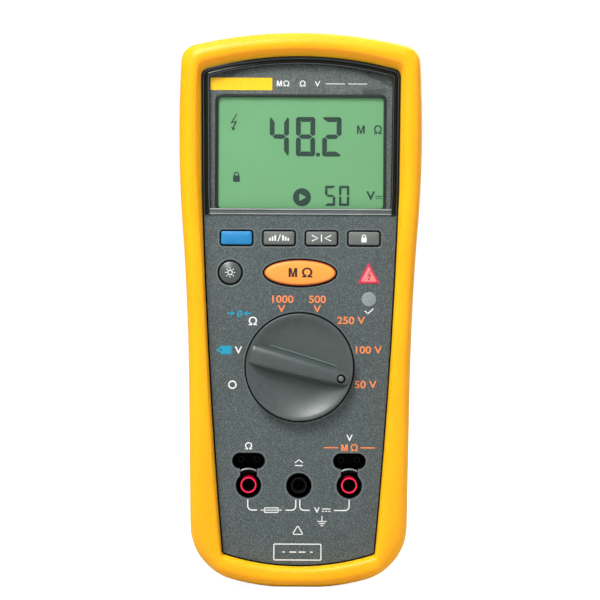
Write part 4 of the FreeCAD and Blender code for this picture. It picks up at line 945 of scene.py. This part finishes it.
def make_lamps():
    """The lit high-voltage triangle with its bolt and a painted glow on the panel round it, and the round
    pass lamp.
    """
    (wide, _, high), (x, _, _) = box_of("high_voltage_lens")
    spread, slope = 0.8, 1.7
    half = (wide[1] - wide[0]) / 2 - slope * spread
    low, top = high[0] + spread, high[1] - 2 * spread

    def triangle(inset):
        foot = half - slope * inset
        return rounded([(x - foot, low + inset), (x + foot, low + inset), (x, top - 2 * inset)], 0.35, 6)

    rim = [(0.0, -15.9), (0.0, -19.55), (0.1, -19.75), (0.45, -19.8), (0.6, -19.6), (0.7, -19.5)]
    face = [(0.5, -19.5), (0.5, -19.72), (0.6, -19.8), (1.3, -19.86)]
    button("alarm_edge", triangle, rim, "alarm_edge", replaced=["high_voltage_lens"])
    button("alarm_face", triangle, face, "alarm_lens")
    # Painted light: two thin glowing strips on the panel round the lit triangle.
    for name, inner, outer in (("alarm_halo", -0.02, -0.3), ("alarm_haze", -0.3, -0.6)):
        glow = Ink(-19.52, thickness=0.04)
        glow.shape(triangle(outer), triangle(inner))
        glow.finish(name, name)
    ink = Ink(-19.9, x, low)
    ink.shape(bolt(-0.05, 4.7, 3.8))
    ink.finish("alarm_bolt", "alarm_print")
    x, z, _, radius, _ = cap_of("pass_lens", 0.9)
    dome = [(-0.9, -15.85), (-0.9, -16.95), (0.0, -16.95), (0.0, -19.6), (0.12, -19.78), (0.4, -19.86),
            (1.2, -19.95), (2.2, -20.0)]
    button("pass_lamp", lambda inset: circle(x, z, radius - inset, 48), dome, "clear_lens",
           replaced=["pass_lens"])


# Selector knob.

KNOB_X, KNOB_Z, KNOB_FRONT, KNOB_RADIUS, _ = cap_of("selector_knob", 0)
RIM_INSET, RIM_DEPTH, DISH_FALL = 1.6, -22.95, 2.95
GRIP_TURN = math.radians(15)
GRIP_ACROSS = Vector((math.sin(GRIP_TURN), math.cos(GRIP_TURN)))
GRIP_ALONG = Vector((math.cos(GRIP_TURN), -math.sin(GRIP_TURN)))
GRIP_REACH = KNOB_RADIUS - 0.5
GRIP_ROOT, GRIP_TOP, GRIP_SAG, GRIP_END = -20.1, -25.0, 0.9, 1.6
GRIP_SECTION = [(1.5, GRIP_ROOT), (1.45, -20.55), (1.1, -20.85), (0.8, -21.6), (0.5, -22.6), (0.2, -23.7),
                (0.0, -24.05), (-0.2, -24.3), (-0.5, -24.52), (-0.9, -24.7), (-1.4, -24.86), (-1.8, -24.95)]


def grip_half(share):
    """Half the width of the grip at a share of its reach, from -1 at the broad end to 1 at the nose."""
    return 3.4 - 0.38 * (share + 1) ** 2


def on_knob(share, out):
    """A place on the knob: a share of the grip's reach along it, and so far out across it."""
    return GRIP_ALONG * share + GRIP_ACROSS * out + Vector((KNOB_X, KNOB_Z))


def make_grip(steps=72):
    """The tapered grip across the knob, its top falling towards both ends, with a painted highlight bead
    along its upper foot.
    """
    rows = []
    for side, section in ((1, GRIP_SECTION), (-1, GRIP_SECTION[::-1])):
        for spread, depth in section:
            row = []
            for step in range(steps + 1):
                share = -math.cos(math.pi * step / steps)
                half = grip_half(share) + spread
                end = math.sqrt(max(1.0, GRIP_REACH ** 2 - half ** 2))
                fall = max(0.0, abs(share) * end - (end - GRIP_END)) / GRIP_END
                drop = (1 - math.sqrt(max(0.0, 1 - fall ** 2))) * (-20.8 - depth) * 0.32
                sag = GRIP_SAG * share ** 2 * (depth - GRIP_ROOT) / (GRIP_TOP - GRIP_ROOT)
                place = on_knob(share * end, half * side)
                row.append(mm(place.x, depth + drop + sag, place.y))
            rows.append(row)
    # Painted highlight: a thin bead in the lighter knob plastic along the grip's upper foot.
    foot = [on_knob(share * GRIP_REACH, grip_half(share) + 1.65) for share in (0.93, 0.5, 0.0, -0.5, -0.88)]
    sweep("knob_foot_highlight", [tuple(point) for point in foot],
          [(-0.5, -20.2), (-0.4, -20.85), (-0.05, -21.05), (0.25, -20.85), (0.35, -20.2)],
          "knob_edge", "knob", closed=False)
    mesh = loft("knob_grip", rows, closed_across=False, closed_along=True, sharp_angle=60.0, capped=True)
    piece("knob_grip", mesh, "knob_plastic", "knob")


def make_knob():
    """Dished knob turned round its axis, with a grip and a round pointer, in a gap in the panel."""
    profile = [(0.0, -19.82), (0.0, -22.8), (0.06, -23.12), (0.22, -23.26), (0.45, -23.26), (0.9, -23.16),
               (1.4, -23.04)]
    for step in range(21):
        share = 1 - step / 21
        inset = KNOB_RADIUS - (KNOB_RADIUS - RIM_INSET) * share
        profile.append((inset, RIM_DEPTH + DISH_FALL * (1 - share ** 4)))
    button("knob_skirt", lambda inset: circle(KNOB_X, KNOB_Z, KNOB_RADIUS - inset, 160), profile,
           "knob_plastic", "knob", ["selector_knob"], sharp_angle=50.0)
    make_grip()
    x, z, _, _, _ = cap_of("knob_pointer")
    top = KNOB_FRONT + 0.62
    sweep("pointer_ring", circle(x, z, 1.08, 40),
          [(0.0, top + 1.0), (0.0, top - 0.02), (0.15, top - 0.1), (0.5, top - 0.1), (0.62, top - 0.02),
           (0.62, top + 1.0)], "well_black", "knob")
    button("pointer_dot", lambda inset: circle(x, z, 1.06 - inset, 40),
           [(0.0, top + 1.0), (0.0, top + 0.1), (0.15, top - 0.1), (0.45, top - 0.22), (0.8, top - 0.25)],
           "pointer_plastic", "knob", ["knob_pointer"])
    # Painted shade: a black ring in the gap round the knob. The lip round it is in the lighter panel plastic,
    # a painted highlight on real geometry.
    edge = circle(KNOB_X, KNOB_Z, KNOB_RADIUS, 160)
    sweep("knob_gap_shade", edge, [(0.08, -19.3), (0.08, -19.6), (0.3, -19.66), (0.62, -19.6), (0.62, -19.3)],
          "well_black")
    sweep("knob_lip", edge, lip_profile(0.6), "case_edge")


# Sockets.

PORT_HIGH = box_of("probe_port_contacts")[1][2]
PORT_HALF, PORT_HALF_HIGH = 6.2, 3.0
WELL_RADIUS, NECK_HALF, COLLAR_RADIUS = 4.8, 3.2, 6.15
# Painted shade: near-black on the walls of the socket holes, and under each collar.
WELL_WALL_SHADE = [(0.02, -17.2), (0.02, -19.3), (-0.1, -19.4), (-0.28, -19.3), (-0.28, -17.2)]
COLLAR_FOOT = [(-1.4, -17.0), (-1.4, -18.4), (-1.0, -18.8), (-0.28, -18.95), (-0.28, -17.0)]
COLLAR = [(-0.3, -17.0), (-0.3, -18.9), (-0.12, -19.3), (0.05, -19.42), (0.22, -19.3), (0.3, -18.9),
          (0.3, -17.0)]


def make_sockets():
    """Coloured rings in the three wells, near-black painted shade inside the rings, on the well walls and
    under the collars, and the collars round the outer two in a light grey that paints a highlight on their
    crest.
    """
    for name, finish in (("left", "red_socket"), ("common", "black_socket"), ("right", "red_socket")):
        x, z, front, radius, _ = cap_of(f"{name}_jack_sleeve", 0)
        rim = circle(x, z, radius)
        sweep(f"{name}_ring", rim,
              [(0.0, -5.2), (0.0, front + 0.25), (-0.12, front + 0.06), (-0.33, front), (-0.55, front + 0.05),
               (-0.66, front + 0.25), (-0.66, -5.2)], finish, replaced=[f"{name}_jack_sleeve"])
        # Painted shade: near-black inside each ring.
        sweep(f"{name}_lining", rim,
              [(-0.68, -10.0), (-0.68, front + 0.55), (-0.8, front + 0.45), (-1.05, front + 0.6),
               (-1.1, -10.0)], "well_black")
        alone = name == "common"
        outline = circle(x, z, WELL_RADIUS, 72) if alone else socket_outline(x, z)
        sharp = 40.0 if alone else 60.0
        sweep(f"{name}_well_lip", outline, lip_profile(0.0), "case_edge", sharp_angle=sharp)
        sweep(f"{name}_well_wall_shade", outline, WELL_WALL_SHADE, "well_black", sharp_angle=sharp)
        if alone:
            continue
        turn = math.degrees(math.asin(3.0 / COLLAR_RADIUS))
        arc = circle(x, z, COLLAR_RADIUS, 24, 90 + turn, -2 * turn)[::-1]
        # The collar in a light grey, a painted highlight along its crest, over a near-black foot of painted
        # shade.
        sweep(f"{name}_collar_foot", arc, COLLAR_FOOT, "well_black", closed=False)
        sweep(f"{name}_collar", arc, COLLAR, "neck_light", closed=False)


def socket_outline(x, z):
    """The edge of a round well that opens upwards through a neck into an oval port."""
    gap_turn = math.degrees(math.asin(NECK_HALF / WELL_RADIUS))
    lower = circle(x, z, WELL_RADIUS, 56, 90 + gap_turn, 360 - 2 * gap_turn)
    port = rectangle(x, PORT_HIGH, PORT_HALF, PORT_HALF_HIGH, PORT_HALF_HIGH - 0.05, 12)
    port = [point for point in port if abs(point[0] - x) >= NECK_HALF or point[1] >= PORT_HIGH]
    turn = next(index for index, point in enumerate(port)
                if point[0] > x and point[1] < PORT_HIGH and port[index - 1][0] < x)
    neck = (z + 4.3, PORT_HIGH - PORT_HALF_HIGH)
    return (lower + [(x + NECK_HALF, up) for up in neck] + port[turn:] + port[:turn]
            + [(x - NECK_HALF, up) for up in neck[::-1]])


# Printed marks on the panel.


def make_legends():
    """Figures round the knob, units over the sockets, and the lines that join them."""
    knob = (KNOB_X - 0.3, KNOB_Z)
    pitch, _, row = box_of("right_jack_sleeve")[1]
    surface = FACE - 0.03
    ink = Ink(surface, *knob)
    for text, across, up in (("1000", -6.5, 24.3), ("500", 6.9, 24.3), ("V", -6.6, 20.7), ("V", 6.9, 20.7),
                             ("250 V", 19.6, 16.4), ("100 V", 26.0, 5.3), ("50 V", 25.2, -7.8)):
        ink.figures(text, across, up, 2.8, 1.14, bold=0.06)
    ink.origin = (pitch, row)
    ink.mega(-1.9, 13.2, 2.5, 0.55)
    ink.figures(OHM, 1.8, 13.2, 2.5, bold=0.05)
    for side in (-1, 1):
        ink.bar(side * 6.9, 14.4, 2.7, 0.22)
    ink.finish("orange_legend", "orange_print")
    ink = Ink(surface, *knob)
    tag = [(-31.2, 6.3), (-29.2, 4.7), (-25.4, 4.7), (-25.4, 7.9), (-29.2, 7.9)]
    ink.shape(tag, circle(-29.5, 6.3, 0.42, 16))
    ink.figures("0", -22.7, 18.9, 2.5, slant=0.2, bold=0.09)
    for side in (-1, 1):
        head = -22.6 + side * 1.6
        ink.shape([(head, 20.15), (head + side * 1.5, 21.1), (head + side * 1.5, 19.2)])
        ink.bar(head + side * 2.1, 20.15, 0.8, 0.28)
    ink.finish("blue_legend", "blue_print")
    ink = Ink(surface, *knob)
    ink.figures(OHM, -17.4, 15.8, 3.0, bold=0.06)
    ink.figures("V", -22.8, 5.0, 2.75, bold=0.06)
    ink.stroke(circle(-25.0, -6.8, 1.35, 36), 0.52, closed=True)
    lamp = box_of("pass_lens")[1]
    ink.origin = (lamp[0], lamp[2])
    ink.stroke([(-1.5, -4.3), (-0.4, -5.4), (1.7, -3.5)], 0.42)
    ink.origin = (0, row)
    ink.figures(OHM, -pitch, 13.6, 2.6, bold=0.03)
    ink.figures("V", pitch, 17.0, 2.4, bold=0.05)
    ink.bar(0, 7.6, 1.5, 0.2)
    ink.stroke([(-1.5, 8.6), (0, 9.8), (1.5, 8.6)], 0.36)
    socket_lines(ink, pitch)
    ink.stroke(rounded([(-2.3, -18.4), (1.7, -18.4), (-0.3, -15.1)], 0.35, 4), 0.36, closed=True)
    ink.stroke(rectangle(-0.4, -25.1, 8.9, 3.0, 0.35, 6), 0.4, closed=True)
    for step, half in enumerate((0.5, 1.3, 1.3, 0.5)):
        ink.bar(-5.6 + 3.5 * step, -25.1, half, 0.22)
    ink.finish("white_legend", "white_print")


def socket_lines(ink, pitch):
    """Lines that tie each outer socket to the middle one, with a fuse, a direct-voltage sign and an earth."""
    low, bend = -9.3, 1.6
    for start, inner, end in ((-pitch - 0.2, -15.7, 1), (-1.1, -5.0, -1), (0.4, 4.2, 1), (pitch, 13.4, -1)):
        corner = circle(start + end * bend, low + bend, bend, 10, 180 if end > 0 else 0, 90 * end)
        ink.stroke([(start, -5.3)] + corner + [(inner, low)], 0.42)
    ink.stroke(rectangle(-10.35, low, 2.6, 0.85, 0.3, 6), 0.34, closed=True)
    ink.bar(-10.35, low, 4.0, 0.16)
    ink.figures("V", 6.9, low - 0.9, 2.1, bold=0.05)
    ink.bar(10.4, low + 0.55, 1.6, 0.17)
    for step in (-1, 0, 1):
        ink.bar(10.4 + 1.2 * step, low - 0.35, 0.4, 0.17)
    ink.stroke([(8.8, -11.4), (8.8, -13.5)], 0.34)
    for step, half in enumerate((1.75, 1.1, 0.5)):
        ink.bar(8.8, -13.5 - 0.8 * step, half, 0.17)


def make_label_marks():
    """Plain marks on the label at the back: a double square, a ring with a bar, lines in place of words."""
    bounds, (x, _, z) = box_of("rating_label")
    ink = Ink(bounds[1][1] + 0.01, x, z)
    for half in (3.4, 1.9):
        ink.stroke(rectangle(18.5, 2.2, half, half, 0.3, 3), 0.4, closed=True)
    ink.stroke(circle(9.5, 2.2, 3.2, 40), 0.4, closed=True)
    ink.bar(9.5, 2.2, 1.9, 0.22)
    spread = random.Random(11)
    for row in range(4):
        start = 3.2
        while start > -19.0:
            long = spread.uniform(2.0, 5.5)
            ink.bar(start - long / 2, 5.4 - 2.4 * row, long / 2, 0.32, 0.1)
            start -= long + 0.9
    ink.bar(0, -5.6, 21.8, 0.12)
    ink.finish("label_marks", "label_print")


# Camera, light and floor.


def make_camera():
    """Straight on to the panel, level with the middle of the tester."""
    data = bpy.data.cameras.new("camera")
    data.lens = 135
    data.sensor_width = 36
    data.clip_start = 0.01
    data.clip_end = 20
    camera = bpy.data.objects.new("camera", data)
    camera.location = (mm(0.05), -0.8696, cad_high.z / 2 + mm(3.7))
    camera.rotation_euler = (math.radians(90), math.radians(-0.33), 0)
    bpy.context.scene.collection.objects.link(camera)
    bpy.context.scene.camera = camera


def add_light(name, place, size, power, colour=(1, 1, 1)):
    """A soft square light that looks at the middle of the tester."""
    data = bpy.data.lights.new(name, "AREA")
    data.shape = "RECTANGLE"
    data.size = data.size_y = size
    data.energy = power
    data.color = colour
    lamp = bpy.data.objects.new(name, data)
    lamp.location = place
    aim = Vector((0, 0, cad_high.z / 2)) - Vector(place)
    lamp.rotation_euler = aim.to_track_quat("-Z", "Y").to_euler()
    bpy.context.scene.collection.objects.link(lamp)


def make_world():
    """A dim even light that shows to the camera as a white background."""
    world = bpy.data.worlds.new("studio")
    world.use_nodes = True
    tree = world.node_tree
    mix = put_node(tree, "MixShader")
    rays = put_node(tree, "LightPath")
    link(rays.outputs["Is Camera Ray"], mix.inputs["Fac"])
    backdrop = put_node(tree, "Background")
    for index, (source, strength) in enumerate(((tree.nodes["Background"], 0.19), (backdrop, 1.02)), 1):
        source.inputs["Color"].default_value = (1, 1, 1, 1)
        source.inputs["Strength"].default_value = strength
        link(source.outputs["Background"], mix.inputs[index])
    link(mix.outputs["Shader"], tree.nodes["World Output"].inputs["Surface"])
    bpy.context.scene.world = world


def make_floor(reach=6.0):
    """A plain floor, grey in itself so that it sends up less light, that shows to the camera as white."""
    mesh = bpy.data.meshes.new("floor")
    corners = [(-reach, -reach, 0), (reach, -reach, 0), (reach, reach, 0), (-reach, reach, 0)]
    mesh.from_pydata(corners, [], [(0, 1, 2, 3)])
    floor = bpy.data.objects.new("floor", mesh)
    paper = new_material("floor_paper", (0.52, 0.52, 0.52), 0.9, Specular_IOR_Level=0.0,
                         Emission_Color=(1, 1, 1, 1))
    tree = paper.node_tree
    rays = put_node(tree, "LightPath")
    glow = put_node(tree, "Math")
    glow.operation = "MULTIPLY"
    glow.inputs[1].default_value = 0.95
    link(rays.outputs["Is Camera Ray"], glow.inputs[0])
    link(glow.outputs["Value"], surface_of(paper)["Emission Strength"])
    mesh.materials.append(paper)
    bpy.context.scene.collection.objects.link(floor)


def make_studio():
    """A soft key light from the upper left with a weaker one beside it, a fill, a top and a back light."""
    add_light("key", (-0.45, -0.75, 1.21), 0.5, 28.5, (1.0, 0.985, 0.96))
    add_light("kicker", (-0.34, -1.15, 0.95), 0.35, 6.2)
    add_light("fill", (1.1, -0.35, 0.35), 0.9, 4.0, (0.97, 0.985, 1.0))
    add_light("top", (0.0, 0.2, 1.1), 0.8, 3.0)
    add_light("back", (0.5, 1.1, 0.7), 0.9, 12.0)
    make_world()
    make_floor()


def set_look():
    """Plain colour handling, so that a colour comes out as it is set."""
    bpy.context.scene.view_settings.view_transform = "Standard"


make_camera()
make_studio()
set_look()
dress_frame()
make_boot()
make_bezel()
make_screen()
make_mask_marks()
make_key_row()
make_lamp_key()
make_test_key()
make_lamps()
make_knob()
make_sockets()
make_legends()
make_label_marks()
